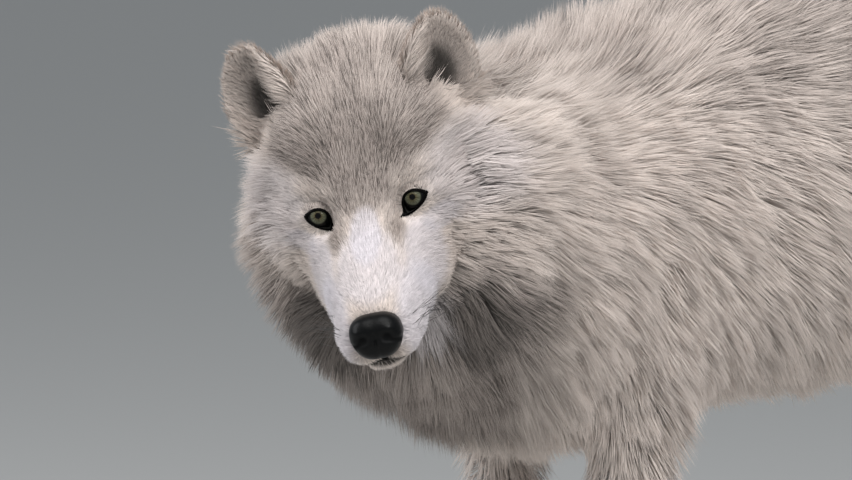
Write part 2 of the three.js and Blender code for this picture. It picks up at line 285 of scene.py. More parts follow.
HEAD_LIE = {
    "muzzle": [
        ((0, -98, -27), (0, 1, 0.1), 4.5, 2),
        ((0, -60, -13), (0, 1, 0.15), 7, 2.6),
        ((0, -28, -5), (0, 1, 0.35), 9, 3.2),
        ((30, -100, -58), (0.25, 0.9, -0.15), 6, 2.4),
        ((41, -65, -50), (0.25, 0.95, -0.2), 9, 3.4),
        ((46, -30, -42), (0.4, 0.88, -0.25), 12, 4.2),
        ((12, -113, -62), (0.7, 0.3, -0.5), 4, 1.6),
        ((0, -102, -80), (0, 0.9, -0.2), 8, 3.2),
        ((0, -60, -88), (0, 1, -0.15), 14, 6),
        ((36, -50, -82), (0.25, 0.9, -0.35), 14, 5.5),
        ((40, -4, -26), (0.5, 0.85, -0.25), 8, 3),
        ((20, -8, -10), (0.25, 0.9, 0.2), 7, 2.6),
    ],
    "forehead": [
        ((0, 4, 8), (0, 0.85, 0.5), 10, 3.6),
        ((0, 30, 40), (0, 0.85, 0.5), 16, 6),
        ((32, 26, 30), (0.4, 0.8, 0.4), 15, 6),
        ((30, 12, 12), (0.35, 0.75, 0.55), 9, 3.5),
        ((0, 62, 72), (0, 0.95, 0.3), 23, 10),
        ((56, 26, 6), (0.65, 0.75, 0), 16, 7),
        ((50, 62, 52), (0.4, 0.85, 0.35), 24, 11),
    ],
    "crown": [
        ((0, 100, 86), (0, 1, 0.3), 40, 24),
        ((0, 135, 82), (0, 1, 0.3), 52, 34),
        ((75, 125, 45), (0, 1, 0), 40, 20),
        ((70, 60, 20), (0.6, 0.8, 0.05), 34, 19),
    ],
    "cheek": [
        ((58, 18, -40), (0.6, 0.65, -0.45), 22, 10),
        ((84, 50, -35), (0.68, 0.5, -0.5), 46, 28),
        ((105, 85, -10), (0.45, 0.85, -0.3), 58, 38),
        ((100, 85, -70), (0.5, 0.45, -0.75), 66, 44),
        ((70, 60, -110), (0.35, 0.35, -0.87), 66, 38),
        ((48, 5, -84), (0.4, 0.65, -0.6), 30, 13),
        ((0, 0, -95), (0, 0.85, -0.5), 30, 13),
        ((0, 60, -112), (0, 0.7, -0.7), 56, 28),
    ],
}


MIDDLE_ROWS = 25  # a row nearer to the middle than this stands for both sides


def both_sides(rows):
    for place, way, length, depth in rows:
        yield place, way, length, depth
        if abs(place[0]) > MIDDLE_ROWS:
            yield (-place[0], *place[1:]), (-way[0], *way[1:]), length, depth


def lie_table():
    regions, places, ways, lengths, depths = [], [], [], [], []
    for table, on_the_head in ((BODY_LIE, False), (HEAD_LIE, True)):
        for region, rows in table.items():
            for place, way, length, depth in both_sides(rows):
                regions.append(region)
                here = np.array(place, float)
                direction = np.array(way, float)
                places.append(from_head(here) if on_the_head else BODY_ORIGIN + here * 0.001)
                ways.append(HEAD_TURN @ direction if on_the_head else direction)
                lengths.append(length * 0.001)
                depths.append(depth * 0.001)
    return regions, np.array(places), np.array(ways), np.array(lengths), np.array(depths)


lie_regions, lie_places, lie_ways, lie_lengths, lie_depths = lie_table()
REGIONS = [*BODY_LIE, *HEAD_LIE]
lie_region_index = np.array([REGIONS.index(region) for region in lie_regions])
lie_on_face = np.array([region in ("muzzle", "forehead") for region in lie_regions])
LIE_SOFTNESS = 0.022  # rows nearer than this to a point count about alike
POINTS_AT_ONCE = 20000  # so that the table of gaps stays small


def lie_weights(points):
    weights = np.empty((len(points), len(lie_places)), np.float32)
    for start in range(0, len(points), POINTS_AT_ONCE):
        part = slice(start, start + POINTS_AT_ONCE)
        gap = ((points[part, None, :] - lie_places[None]) ** 2).sum(2)
        weights[part] = 1 / (gap + LIE_SOFTNESS**2) ** 2
    return weights / weights.sum(1, keepdims=True)


def regions_of(weights):
    shares = np.stack(
        [weights[:, lie_region_index == index].sum(1) for index in range(len(REGIONS))], 1
    )
    return shares.argmax(1)


# ---- skin ----
# One hide over the whole animal, from the lips to the tip of the tail, under the depth of its coat.
# The body is the solids' outline drawn inward, the head is laid up from skull, muzzle, jaw, brows
# and ears, and the paws keep their toes. All are joined into one surface.
BODY_NODES = ["head", "neck", "trunk", "tail"]
for part in ("leg", "paw"):
    for end in ("fore", "hind"):
        BODY_NODES += [f"{part}_{end}_left", f"{part}_{end}_right"]
BODY_VOXEL = 0.0075
PAW_VOXEL = 0.003
HEAD_VOXEL = 0.0026
HEAD_CORE = 0.014  # the drawn-in body lies this much deeper inside the head, which is laid over it


def points_of(mesh):
    points = np.empty(len(mesh.vertices) * 3)
    mesh.vertices.foreach_get("co", points)
    return points.reshape(-1, 3)


def normals_of(mesh):
    normals = np.empty(len(mesh.vertices) * 3)
    mesh.vertices.foreach_get("normal", normals)
    return normals.reshape(-1, 3)


def edges_of(mesh):
    edges = np.empty(len(mesh.edges) * 2, int)
    mesh.edges.foreach_get("vertices", edges)
    return edges.reshape(-1, 2)


def place_points(mesh, points):
    mesh.vertices.foreach_set("co", np.ascontiguousarray(points, np.float32).ravel())
    mesh.update()


def smoothed(values, edges, times, share=0.5):
    """Each value moves toward the mean of its neighbours' values, several times over."""
    count = np.bincount(edges.ravel(), minlength=len(values))[:, None].clip(1)
    for _ in range(times):
        total = np.empty_like(values)
        for column in range(values.shape[1]):
            total[:, column] = np.bincount(
                edges[:, 0], values[edges[:, 1], column], minlength=len(values)
            ) + np.bincount(edges[:, 1], values[edges[:, 0], column], minlength=len(values))
        values = values + share * (total / count - values)
    return values


def smooth_mesh(mesh, times, share=0.5):
    place_points(mesh, smoothed(points_of(mesh), edges_of(mesh), times, share))


def settle(piece):
    """Applies a piece's modifiers to its mesh."""
    graph = bpy.context.evaluated_depsgraph_get()
    mesh = bpy.data.meshes.new_from_object(piece.evaluated_get(graph))
    piece.modifiers.clear()
    piece.data = mesh


def remesh(piece, voxel):
    modifier = piece.modifiers.new("remesh", "REMESH")
    modifier.mode = "VOXEL"
    modifier.voxel_size = voxel
    settle(piece)


def smooth_where(mesh, share, times):
    """Smooths a mesh by a share of its own at each point, from 0 to 1."""
    points = points_of(mesh)
    moved = smoothed(points, edges_of(mesh), times)
    place_points(mesh, points + (moved - points) * share[:, None])


def keep_largest(mesh):
    """Drops the small separate bits that a remesh can leave."""
    edges = edges_of(mesh)
    label = np.arange(len(mesh.vertices))
    while True:
        low = np.minimum(label[edges[:, 0]], label[edges[:, 1]])
        new = label.copy()
        np.minimum.at(new, edges[:, 0], low)
        np.minimum.at(new, edges[:, 1], low)
        new = new[new]
        if (new == label).all():
            break
        label = new
    main = np.bincount(label).argmax()
    if (label == main).all():
        return
    shape = bmesh.new()
    shape.from_mesh(mesh)
    shape.verts.ensure_lookup_table()
    loose = [shape.verts[index] for index in np.nonzero(label != main)[0]]
    bmesh.ops.delete(shape, geom=loose, context="VERTS")
    shape.to_mesh(mesh)
    shape.free()


def unite(piece, other):
    modifier = piece.modifiers.new("unite", "BOOLEAN")
    modifier.operation = "UNION"
    modifier.solver = "MANIFOLD"
    modifier.object = other
    settle(piece)
    bpy.data.objects.remove(other)


def merged_nodes(name, nodes):
    shape = bmesh.new()
    for node in nodes:
        shape.from_mesh(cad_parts[node].data)
    bmesh.ops.remove_doubles(shape, verts=shape.verts, dist=1e-5)
    return new_piece(name, mesh_from(shape, name))


def surface_tree(points, mesh):
    """A tree for finding the nearest spot on a mesh, whose points may be given on other axes."""
    return BVHTree.FromPolygons(
        [tuple(place) for place in points], [tuple(face.vertices) for face in mesh.polygons]
    )


def on_head(points):
    """Points of the row frame, in mm on the head's own axes."""
    return ((np.asarray(points, float) - HEAD_ORIGIN) @ HEAD_TURN) * 1000


def band(values, start, rise, end, fall):
    """1 in the middle of a stretch, going down to 0 at its start and end over given lengths."""
    return np.clip((values - start) / rise, 0, 1) * np.clip((end - values) / fall, 0, 1)


NECK_EASED = (30, 40, 330, 80)  # mm back from the eyes: start, rise, end, fall
FILLED_PLACE = np.array([125, -95, 580])  # the neck behind the ruff, mm in the body's rows
FILLED_REACH = 75
FILLED_BY = 0.022


def drawn_in(piece, voxel, rounds=4):
    """Moves a surface inward by the coat's depth there."""
    remesh(piece, voxel)
    keep_largest(piece.data)
    smooth_mesh(piece.data, rounds)
    mesh = piece.data
    points = points_of(mesh)
    weights = lie_weights(points)
    face_share = weights[:, lie_on_face].sum(1)
    depth = weights @ lie_depths + HEAD_CORE * np.clip(face_share * 2 - 0.4, 0, 1)
    for side in (1, -1):
        gap = np.linalg.norm((points - BODY_ORIGIN) * 1000 - FILLED_PLACE * [side, 1, 1], axis=1)
        depth -= FILLED_BY * np.exp(-((gap / FILLED_REACH) ** 2))
    normals = smoothed(normals_of(mesh), edges_of(mesh), 6)
    normals /= np.linalg.norm(normals, axis=1, keepdims=True)
    place_points(mesh, points - normals * depth[:, None])
    remesh(piece, voxel)
    keep_largest(piece.data)
    smooth_mesh(piece.data, 3)


skin = merged_nodes("skin", BODY_NODES)
remesh(skin, BODY_VOXEL)
keep_largest(skin.data)
outline = surface_tree(points_of(skin.data), skin.data)
drawn_in(skin, BODY_VOXEL)
behind = on_head(points_of(skin.data))[:, 1]
smooth_where(skin.data, band(behind, *NECK_EASED), 18)

# The paws are made again finely, so that the toes show, and take the place of the coarse ones.
for end in ("fore", "hind"):
    for side in ("left", "right"):
        foot = merged_nodes("foot", [f"paw_{end}_{side}"])
        drawn_in(foot, PAW_VOXEL, rounds=3)
        unite(skin, foot)

# Head stations run from the lips back to the nape, in mm on the head's axes: forward, top, bottom,
# half width, and how much narrower the top is than the bottom.
HEAD_STATIONS = np.array(
    [
        [107, -46, -62, 14, 0.1],
        [102, -32, -68, 23, 0.16],
        [90, -24, -71, 28, 0.2],
        [74, -19, -73, 31, 0.22],
        [54, -13, -76, 35, 0.24],
        [34, -8, -79, 39, 0.28],
        [16, 0, -81, 44, 0.26],
        [-4, 17, -82, 51, 0.2],
        [-28, 38, -85, 58, 0.14],
        [-56, 57, -88, 64, 0.08],
        [-88, 66, -90, 68, 0.04],
        [-118, 58, -86, 68, 0.02],
        [-150, 34, -78, 60, 0],
    ]
)
SQUARENESS = 2.3  # 2 makes the sections of the head round, more makes them squarer
HEAD_END = 0.045  # the head closes over this share of its length at each end


def curve_through(rows, share):
    """A smooth curve through rows of numbers, at shares from 0 to 1 of its length in rows."""
    place = np.clip(np.asarray(share, float), 0, 1) * (len(rows) - 1)
    index = np.minimum(place.astype(int), len(rows) - 2)
    part = (place - index)[..., None]
    before, start = rows[np.maximum(index - 1, 0)], rows[index]
    end, after = rows[index + 1], rows[np.minimum(index + 2, len(rows) - 1)]
    leave, arrive = (end - before) / 2, (after - start) / 2
    return (
        start * (2 * part**3 - 3 * part**2 + 1)
        + leave * (part**3 - 2 * part**2 + part)
        + end * (3 * part**2 - 2 * part**3)
        + arrive * (part**3 - part**2)
    )


def ball(shape, segments, rings):
    """Adds a unit ball to a bmesh, its poles on the y axis, and returns its vertices."""
    made = bmesh.ops.create_uvsphere(
        shape, u_segments=segments, v_segments=rings, radius=1
    )["verts"]
    bmesh.ops.rotate(shape, verts=made, matrix=Matrix.Rotation(math.radians(90), 3, "X"))
    return made


def add_skull(shape):
    made = ball(shape, 72, 90)
    places = np.array([vertex.co for vertex in made])
    share = 1 - np.arccos(places[:, 1].clip(-1, 1)) / math.pi
    forward, top, bottom, half, narrow = curve_through(HEAD_STATIONS, share).T
    angle = np.arctan2(places[:, 2], places[:, 0])
    from_end = np.clip(1 - np.minimum(share, 1 - share) / HEAD_END, 0, 1)
    close = np.sqrt(np.clip(1 - from_end**2, 0, 1))
    across = np.sign(np.cos(angle)) * np.abs(np.cos(angle)) ** (2 / SQUARENESS)
    rise = np.sign(np.sin(angle)) * np.abs(np.sin(angle)) ** (2 / SQUARENESS)
    x = close * half * across * (1 - narrow * (rise * 0.5 + 0.2))
    z = (top + bottom) / 2 + close * (top - bottom) / 2 * rise
    for vertex, place in zip(made, np.stack([x, -forward, z], 1)):
        vertex.co = place


def add_mass(shape, centre, radii, lean):
    """An ellipsoid on the head, in mm, leant over by angles in degrees about x, y and z."""
    made = ball(shape, 32, 24)
    turn = (
        Matrix.Rotation(math.radians(lean[2]), 4, "Z")
        @ Matrix.Rotation(math.radians(lean[1]), 4, "Y")
        @ Matrix.Rotation(math.radians(lean[0]), 4, "X")
    )
    size = Matrix.Diagonal((*radii, 1))
    bmesh.ops.transform(shape, verts=made, matrix=Matrix.Translation(centre) @ turn @ size)


# The masses of the left side of the head: centre, radii and lean. The right side mirrors them.
HEAD_MASSES = [
    ((30, 27, 7), (19, 17, 11), (-24, 14, 0)),  # brow
    ((44, 28, -20), (17, 34, 15), (10, 0, -22)),  # cheekbone
    ((48, 62, -46), (26, 46, 38), (10, 0, 6)),  # jaw muscle
    ((18.5, -82, -56), (13.5, 26, 13), (-4, 0, -6)),  # upper lip
    ((23, -50, -54), (13, 34, 15), (0, 0, -8)),  # upper lip, further back
    ((33, -12, -54), (12, 40, 19), (0, 0, -14)),  # cheek behind the lip
    ((12.5, -97, -58), (15, 14, 10.5), (0, 0, 0)),  # front of the lip, under the nose
    ((22, 66, 30), (30, 48, 28), (14, 0, 0)),  # dome of the skull
]
MIDDLE_MASSES = [
    ((0, -80, -70), (20, 27, 9), (0, 0, 0)),  # chin
    ((0, -34, -74), (25, 44, 11), (-4, 0, 0)),  # floor of the jaw
    ((0, -98, -44), (15, 9, 12), (-24, 0, 0)),  # seat of the nose pad
]

head_shape = bmesh.new()
add_skull(head_shape)
for centre, radii, lean in HEAD_MASSES:
    for side in (1, -1):
        side_lean = (lean[0], side * lean[1], side * lean[2])
        add_mass(head_shape, (side * centre[0], *centre[1:]), radii, side_lean)
for centre, radii, lean in MIDDLE_MASSES:
    add_mass(head_shape, centre, radii, lean)
HEAD_MATRIX = Matrix.Translation(head_origin) @ head_turn.to_4x4() @ Matrix.Scale(0.001, 4)
bmesh.ops.transform(head_shape, verts=head_shape.verts, matrix=HEAD_MATRIX)
head = new_piece("head", mesh_from(head_shape, "head"))
remesh(head, HEAD_VOXEL)
keep_largest(head.data)
smooth_mesh(head.data, 9)

# Each ear is a cupped leaf of gristle on the side of the crown, open to the front and outward.
EAR_BASE = np.array([60, 88, 30])
EAR_TIP = np.array([75.8, 91.7, 91.4])
EAR_BACK = np.array([-0.42, 1, 0.05])  # the way the back of the left ear faces
EAR_HALF_WIDTH = 30
EAR_CUP = 17  # how far the rims stand forward of the middle
EAR_WALL = 4
EAR_SUNK = 3  # how far the leaf is set forward, into the crown
EAR_LEAN = 7  # how far the tip leans back
EAR_FOOT = 0.28  # share of its height that an ear runs on below its base, inside the head
EAR_VOXEL = 0.0022


def ear_frame(side):
    """Origin, height, and unit vectors across, up and back, of an ear, on the head's axes in mm."""
    flip = np.array([side, 1, 1])
    rise = (EAR_TIP - EAR_BASE) * flip
    height = np.linalg.norm(rise)
    up = rise / height
    back = EAR_BACK * flip
    back = back - up * (back @ up)
    back /= np.linalg.norm(back)
    across = np.cross(up, back) * side
    return EAR_BASE * flip, height, across, up, back


def ear_outline(share):
    """Half width of an ear, as a share of its widest, from its base at 0 to its tip at 1."""
    low = 0.92 + 0.08 * math.sin(min(share, 0.3) / 0.3 * math.pi / 2)
    return low * math.sqrt(1 - (max(share - 0.28, 0) / 0.725) ** 1.75)


def add_ear(side):
    shape = bmesh.new()
    bmesh.ops.create_grid(shape, x_segments=22, y_segments=26, size=1)
    base, height, across, up, back = ear_frame(side)
    for vertex in shape.verts:
        u, v = vertex.co.x, (vertex.co.y + 1) / 2
        rise = -EAR_FOOT + (1 + EAR_FOOT) * v
        foot = math.sqrt(1 - min(0, rise / 0.34) ** 2)
        wide = EAR_HALF_WIDTH * float(ear_outline(max(rise, 0))) * foot
        cup = EAR_CUP * (u * u) * (1 - 0.55 * v) * (wide / EAR_HALF_WIDTH)
        lean = EAR_LEAN * (1 - (1 - v) ** 2)
        behind = EAR_WALL - cup + lean - EAR_SUNK
        vertex.co = base + across * (u * wide) + up * (rise * height) + back * behind
    bmesh.ops.recalc_face_normals(shape, faces=shape.faces)
    bmesh.ops.solidify(shape, geom=shape.faces[:], thickness=EAR_WALL)
    bmesh.ops.recalc_face_normals(shape, faces=shape.faces)
    bmesh.ops.transform(shape, verts=shape.verts, matrix=HEAD_MATRIX)
    ear = new_piece("ear", mesh_from(shape, "ear"))
    remesh(ear, EAR_VOXEL)
    keep_largest(ear.data)
    smooth_mesh(ear.data, 3)
    return ear


for side in (1, -1):
    unite(head, add_ear(side))
unite(skin, head)
keep_largest(skin.data)

# The joins round the ankles are eased.
ANKLE = 0.067
ANKLE_REACH = 0.02
points = points_of(skin.data)
ankle_share = np.exp(-(((points[:, 2] - ANKLE) / ANKLE_REACH) ** 2))
smooth_where(skin.data, ankle_share, 36)


def ease(value):
    value = np.clip(value, 0, 1)
    return value * value * (3 - 2 * value)


# The clefts between the toes are pressed in. Each paw has its side, the place of its middle from
# the shoulders' floor point, its step ahead, and its length, width and height, all in mm.
PAWS = {
    "fore_left": (1, 72, -30, 0, 122, 92, 62),
    "fore_right": (-1, 72, -30, 22, 122, 92, 62),
    "hind_left": (1, 80, 562, 26, 112, 84, 58),
    "hind_right": (-1, 80, 562, -34, 112, 84, 58),
}
CLEFT_DEPTH = 0.005
CLEFT_WIDTH = 3.2  # mm
TOE_GAP = 0.235  # from toe to toe, as a share of the paw's width
TOE_SPREAD = 0.03  # and how much further the toes stand apart, as a share of its length


def toe_clefts(points):
    """How much points of the row frame lie in the clefts between the toes, from 0 to 1."""
    body = (points - BODY_ORIGIN) * 1000
    share = np.zeros(len(points))
    for side, paw_x, paw_y, ahead, length, width, height in PAWS.values():
        forward = paw_y + ahead - body[:, 1]
        front = ease((forward - length * 0.08) / (length * 0.16)) * (body[:, 2] < height)
        for cleft in (-1, 0, 1):
            across = body[:, 0] - side * paw_x - cleft * (width * TOE_GAP + length * TOE_SPREAD)
            share = np.maximum(share, front * np.exp(-((across / CLEFT_WIDTH) ** 2)))
    return share * (body[:, 2] < 90)


points = points_of(skin.data)
pressed = (toe_clefts(points) * CLEFT_DEPTH)[:, None]
place_points(skin.data, points - normals_of(skin.data) * pressed)

# The head goes over into the neck without a step, except at the ears.
NAPE_EASED = (100, 30, 260, 60)  # mm back from the eyes: start, rise, end, fall
local = on_head(points_of(skin.data))
nape_share = band(local[:, 1], *NAPE_EASED)
beside = np.abs(local[:, 0]) > 40
nape_share *= 1 - beside * np.clip((local[:, 2] - 30) / 20, 0, 1) * (local[:, 1] < 130)
smooth_where(skin.data, nape_share, 30)


# The sockets, folds and lids: the skin is cut finer about each eye, drawn back behind the eyeball
# inside the almond of the lids, and laid over the ball just outside it.
EYE_PLACE = np.array([36, 10.18, -6.36])  # middle of the left eyeball, mm on the head's axes
BALL = EYE_RADIUS * 1000
LID_MIDDLE = 1.1  # middle of the lids, along the line between the corners of the eye
LID_HALF = 9.8
LID_UP = 9.6
LID_DOWN = 2.8
LID_ON_BALL = 8.5  # the lids follow the eyeball this far from its middle, and then fall away
LID_FALL = 0.32
LID_CENTRE = 2.5  # height of a point well inside the lids, over the corners' line
CORNER_LINE = np.array([0.805, 0.593])  # from the inner to the outer corner: outward, up
CORNER_ORIGIN = np.array([0.3, -5.75])  # middle of that line, from the middle of the pupil
TEAR_LENGTH = 9.0  # the black point that runs on from the inner corner
TEAR_OVERLAP = 2.5  # and starts this far inside it
TEAR_HALF = 4.2


def eye_axes(side):
    """Unit vectors outward, up and along the gaze, of one eye, on the head's axes."""
    outward = np.array([side, 0, 0.0])
    up = np.array([0, math.sin(GAZE_LIFT), math.cos(GAZE_LIFT)])
    gaze = np.array([0, -math.cos(GAZE_LIFT), math.sin(GAZE_LIFT)])
    return np.stack([outward, up, gaze])


def on_eye(points, side):
    """Points on the head's axes, seen from the middle of one eyeball: outward, up, along the gaze."""
    return (points - EYE_PLACE * [side, 1, 1]) @ eye_axes(side).T


def from_eye(points, side):
    return points @ eye_axes(side) + EYE_PLACE * [side, 1, 1]


def near_eye(seen, reach=30, behind=20):
    """Which of the points seen from an eyeball lie on the face about it."""
    return (np.abs(seen[:, :2]).max(1) < reach) & (seen[:, 2] > -behind)


def along_lids(flat):
    """How far points lie along and above the line between the corners of the eye."""
    gap = flat - CORNER_ORIGIN
    upward = np.array([-CORNER_LINE[1], CORNER_LINE[0]])
    return gap @ CORNER_LINE, gap @ upward


def lid_edge(turn):
    """The edge of the lids, a closed curve in the flat of the eye, along and above the corners' line."""
    along = LID_MIDDLE + LID_HALF * np.cos(turn)
    lift = np.sin(turn)
    above = np.where(lift > 0, LID_UP, LID_DOWN) * np.sign(lift) * np.abs(lift) ** 1.25
    return along, above


def flat_of(along, above):
    """The reverse of along_lids."""
    upward = np.array([-CORNER_LINE[1], CORNER_LINE[0]])
    return CORNER_ORIGIN + along[..., None] * CORNER_LINE + above[..., None] * upward


def lid_level(flat):
    """How far ahead of the middle of the eyeball the lids lie, at points in the flat of the eye."""
    reach = np.linalg.norm(flat, axis=-1)
    near = np.minimum(reach, LID_ON_BALL)
    level = np.sqrt(BALL**2 - near**2) - LID_FALL * np.maximum(reach - LID_ON_BALL, 0)
    return level - 0.05 * flat[..., 0] * np.clip(reach / LID_ON_BALL, 0, 1)


def outside_lids(along, above):
    """Distance outside the edge of the lids, negative inside it."""
    turn = np.linspace(0, 2 * math.pi, 120, endpoint=False)
    edge = np.stack(lid_edge(turn), -1)
    spot = np.stack([along, above], -1)
    gap = np.linalg.norm(spot[:, None] - edge[None], axis=2)
    nearest = gap.argmin(1)
    inward = edge[nearest] - np.array([LID_MIDDLE, LID_CENTRE])
    inside = ((spot - edge[nearest]) * inward).sum(1) < 0
    return np.where(inside, -gap.min(1), gap.min(1))


def in_tear(along, above):
    """How far points lie inside the black point at the inner corner, from 0 at its edge to 1."""
    share = (LID_MIDDLE - LID_HALF + TEAR_OVERLAP - along) / (TEAR_LENGTH + TEAR_OVERLAP)
    half = TEAR_HALF * (1 - share)
    inside = 1 - np.abs(above + 0.6 * share) / np.maximum(half, 0.01)
    return np.where((share > 0) & (share < 1), inside.clip(0, 1), 0)


skin_shape = bmesh.new()
skin_shape.from_mesh(skin.data)
FINE_PLACE = (36, -4, -4)
FINE_REACH = 0.027
for side in (1, -1):
    middle = HEAD_MATRIX @ Vector((side * FINE_PLACE[0], *FINE_PLACE[1:]))
    near = [edge for edge in skin_shape.edges if (edge.verts[0].co - middle).length < FINE_REACH]
    bmesh.ops.subdivide_edges(skin_shape, edges=near, cuts=1, use_grid_fill=True)
many_sided = [face for face in skin_shape.faces if len(face.verts) > 4]
bmesh.ops.triangulate(skin_shape, faces=many_sided)
skin_shape.to_mesh(skin.data)
skin_shape.free()

FOLD_WIDTH = 12  # the skin eases from the lids' level to its own over this distance
LID_OFF_BALL = 0.4  # how far the lids stand off the eyeball
SOCKET_DEPTH = 7  # how far the skin is drawn back behind it
local = on_head(points_of(skin.data))
for side in (1, -1):
    seen = on_eye(local, side)
    chosen = near_eye(seen, 34, 22)
    flat, ahead = seen[chosen, :2], seen[chosen, 2]
    along, above = along_lids(flat)
    outside = outside_lids(along, above)
    level = lid_level(flat)
    share = ease(1 - outside / FOLD_WIDTH)
    crease = -1.2 * np.exp(-(((outside - 5.5) / 1.5) ** 2)) * (above > 0)
    moved = ahead + (level + LID_OFF_BALL - ahead) * share + crease
    socket = level + LID_OFF_BALL - SOCKET_DEPTH * ease(-outside / 2.5)
    seen[chosen, 2] = np.where(outside < 0, socket, moved)
    local[chosen] = from_eye(seen[chosen], side)
place_points(skin.data, from_head(local))
skin.data.update()


# Markings, the same on the skin and on every hair: white about the muzzle and under the eyes, grey
# with dark tips on the forehead, saddle and chest, tan at the tear marks, dark in the ears. The grey
# and dark under the cheek ruff and on the chest are partly darker fur and partly painted shade of the
# head and ruff above, and the dark in the clefts between the toes is painted shade. Each is a soft
# ellipsoid: centre and radii in mm, and how strong. One well to the left is mirrored.
WHITE, GREY, DARK, TAN = range(4)
HEAD_MARKS_AND_SHADE = [
    (WHITE, (0, -60, -20), (22, 38, 22), 0.6),
    (WHITE, (0, -36, -10), (11, 29, 17), 0.75),
    (WHITE, (30, -78, -50), (20, 42, 30), 0.8),
    (WHITE, (32, -28, -36), (14, 40, 24), 0.65),
    (TAN, (48, -8, -44), (14, 30, 28), 0.12),
    (WHITE, (44, 2, -21), (15, 18, 9), 0.6),
    (WHITE, (0, -40, -90), (44, 70, 26), 0.6),
    (GREY, (0, 40, 46), (58, 60, 46), 0.98),
    (GREY, (0, 2, 8), (21, 26, 18), 0.9),
    (GREY, (19, -18, -12), (6, 24, 12), 0.55),
    (GREY, (60, 30, 4), (28, 30, 26), 0.4),
    (GREY, (0, 100, 84), (90, 60, 44), 0.3),
    # Grey and dark under the cheek ruff: partly darker fur, partly painted shadow of the ruff and the
    # head above.
    (GREY, (56, 30, -112), (42, 56, 42), 0.85),
    (DARK, (50, 18, -100), (26, 34, 25), 0.55),
    (DARK, (0, 22, 24), (40, 36, 40), 0.13),
    (WHITE, (80, 28, 0), (38, 42, 42), 0.4),
    (DARK, (25, -4, -19), (5.5, 9, 6), 1.0),
    (TAN, (21, -20, -16), (5, 22, 9), 0.45),
    (TAN, (75, 40, -30), (44, 44, 40), 0.1),
]
BODY_MARKS_AND_SHADE = [
    # Grey and dark on the chest and throat: partly darker, dirtier fur, partly painted shade under the
    # head.
    (GREY, (20, -230, 450), (150, 120, 120), 0.6),
    (DARK, (60, -200, 430), (110, 130, 120), 0.21),
    (GREY, (0, 100, 740), (170, 420, 120), 0.45),
    (DARK, (0, 100, 740), (190, 420, 150), 0.07),
    (GREY, (0, 690, 650), (60, 60, 90), 0.35),
    (GREY, (-12, 710, 290), (50, 50, 60), 0.5),
]
MARK_SOFTNESS = 0.45
MIRRORED_MARKS = 15  # a mark whose middle lies further left than this is on the right side too


def ear_place(local, side):
    """Points on an ear's axes: inward and back in mm, and up as a share of its height."""
    base, height, across, up, back = ear_frame(side)
    gap = local - base
    return gap @ across, gap @ up / height, gap @ back


def on_ear(local, side):
    across, rise, behind = ear_place(local, side)
    return (np.abs(across) < 36) & (rise > 0.1) & (rise < 1.3) & (behind > -24) & (behind < 16)


SWAY_WAYS = [(1, 0.6, -0.4), (-0.5, 1, 0.7), (0.4, -0.8, 1), (0.9, 0.9, 0.5)]


def sway(points, span, offset):
    """A smooth unevenness over space, between about -1 and 1, with hills about `span` metres wide."""
    total = np.zeros(len(points))
    for turn, way in enumerate(SWAY_WAYS):
        waves = points @ np.array(way) * (2 * math.pi / span) * (1 + 0.23 * turn)
        total += np.sin(waves + offset + 1.7 * turn)
    return total / 2.4


def unit(vectors):
    return vectors / np.linalg.norm(vectors, axis=1, keepdims=True).clip(1e-9)


# The closed mouth: a line along each side, from under the nose back to the corner, in mm.
LIP_LINE = np.array(
    [
        (0, -112, -67),
        (8, -110, -68.5),
        (15, -104, -70),
        (20, -94, -72),
        (24, -80, -74),
        (28, -62, -76),
        (32, -46, -75),
        (37, -32, -70),
    ]
)
CLEFT = np.array([(0, -114, -58), (0, -114, -62), (0, -112, -67)])
skin_tree = surface_tree(on_head(points_of(skin.data)), skin.data)


def laid_on_skin(line, sunk):
    """Points of the head moved onto the nearest skin, a little under its surface, in mm."""
    moved = []
    for place in line:
        found, normal, _, _ = skin_tree.find_nearest(place)
        moved.append(found - normal * sunk)
    return np.array(moved)


mouth_spots = np.concatenate(
    [
        laid_on_skin(curve_through(line, np.linspace(0, 1, 60)), 0)
        for line in (LIP_LINE, LIP_LINE * [-1, 1, 1], CLEFT)
    ]
)


def from_mouth(local):
    """Distance of points on the head's axes from the line of the mouth, in mm, up to about 20."""
    gap = np.full(len(local), 20.0)
    near = np.nonzero((np.abs(local[:, 0]) < 50) & (local[:, 1] < 0) & (local[:, 2] < -40))[0]
    gap[near] = np.linalg.norm(local[near, None] - mouth_spots[None], axis=2).min(1)
    return gap


RIM_WIDTH = 1.8  # the dark of the lids reaches this far outside them, in mm


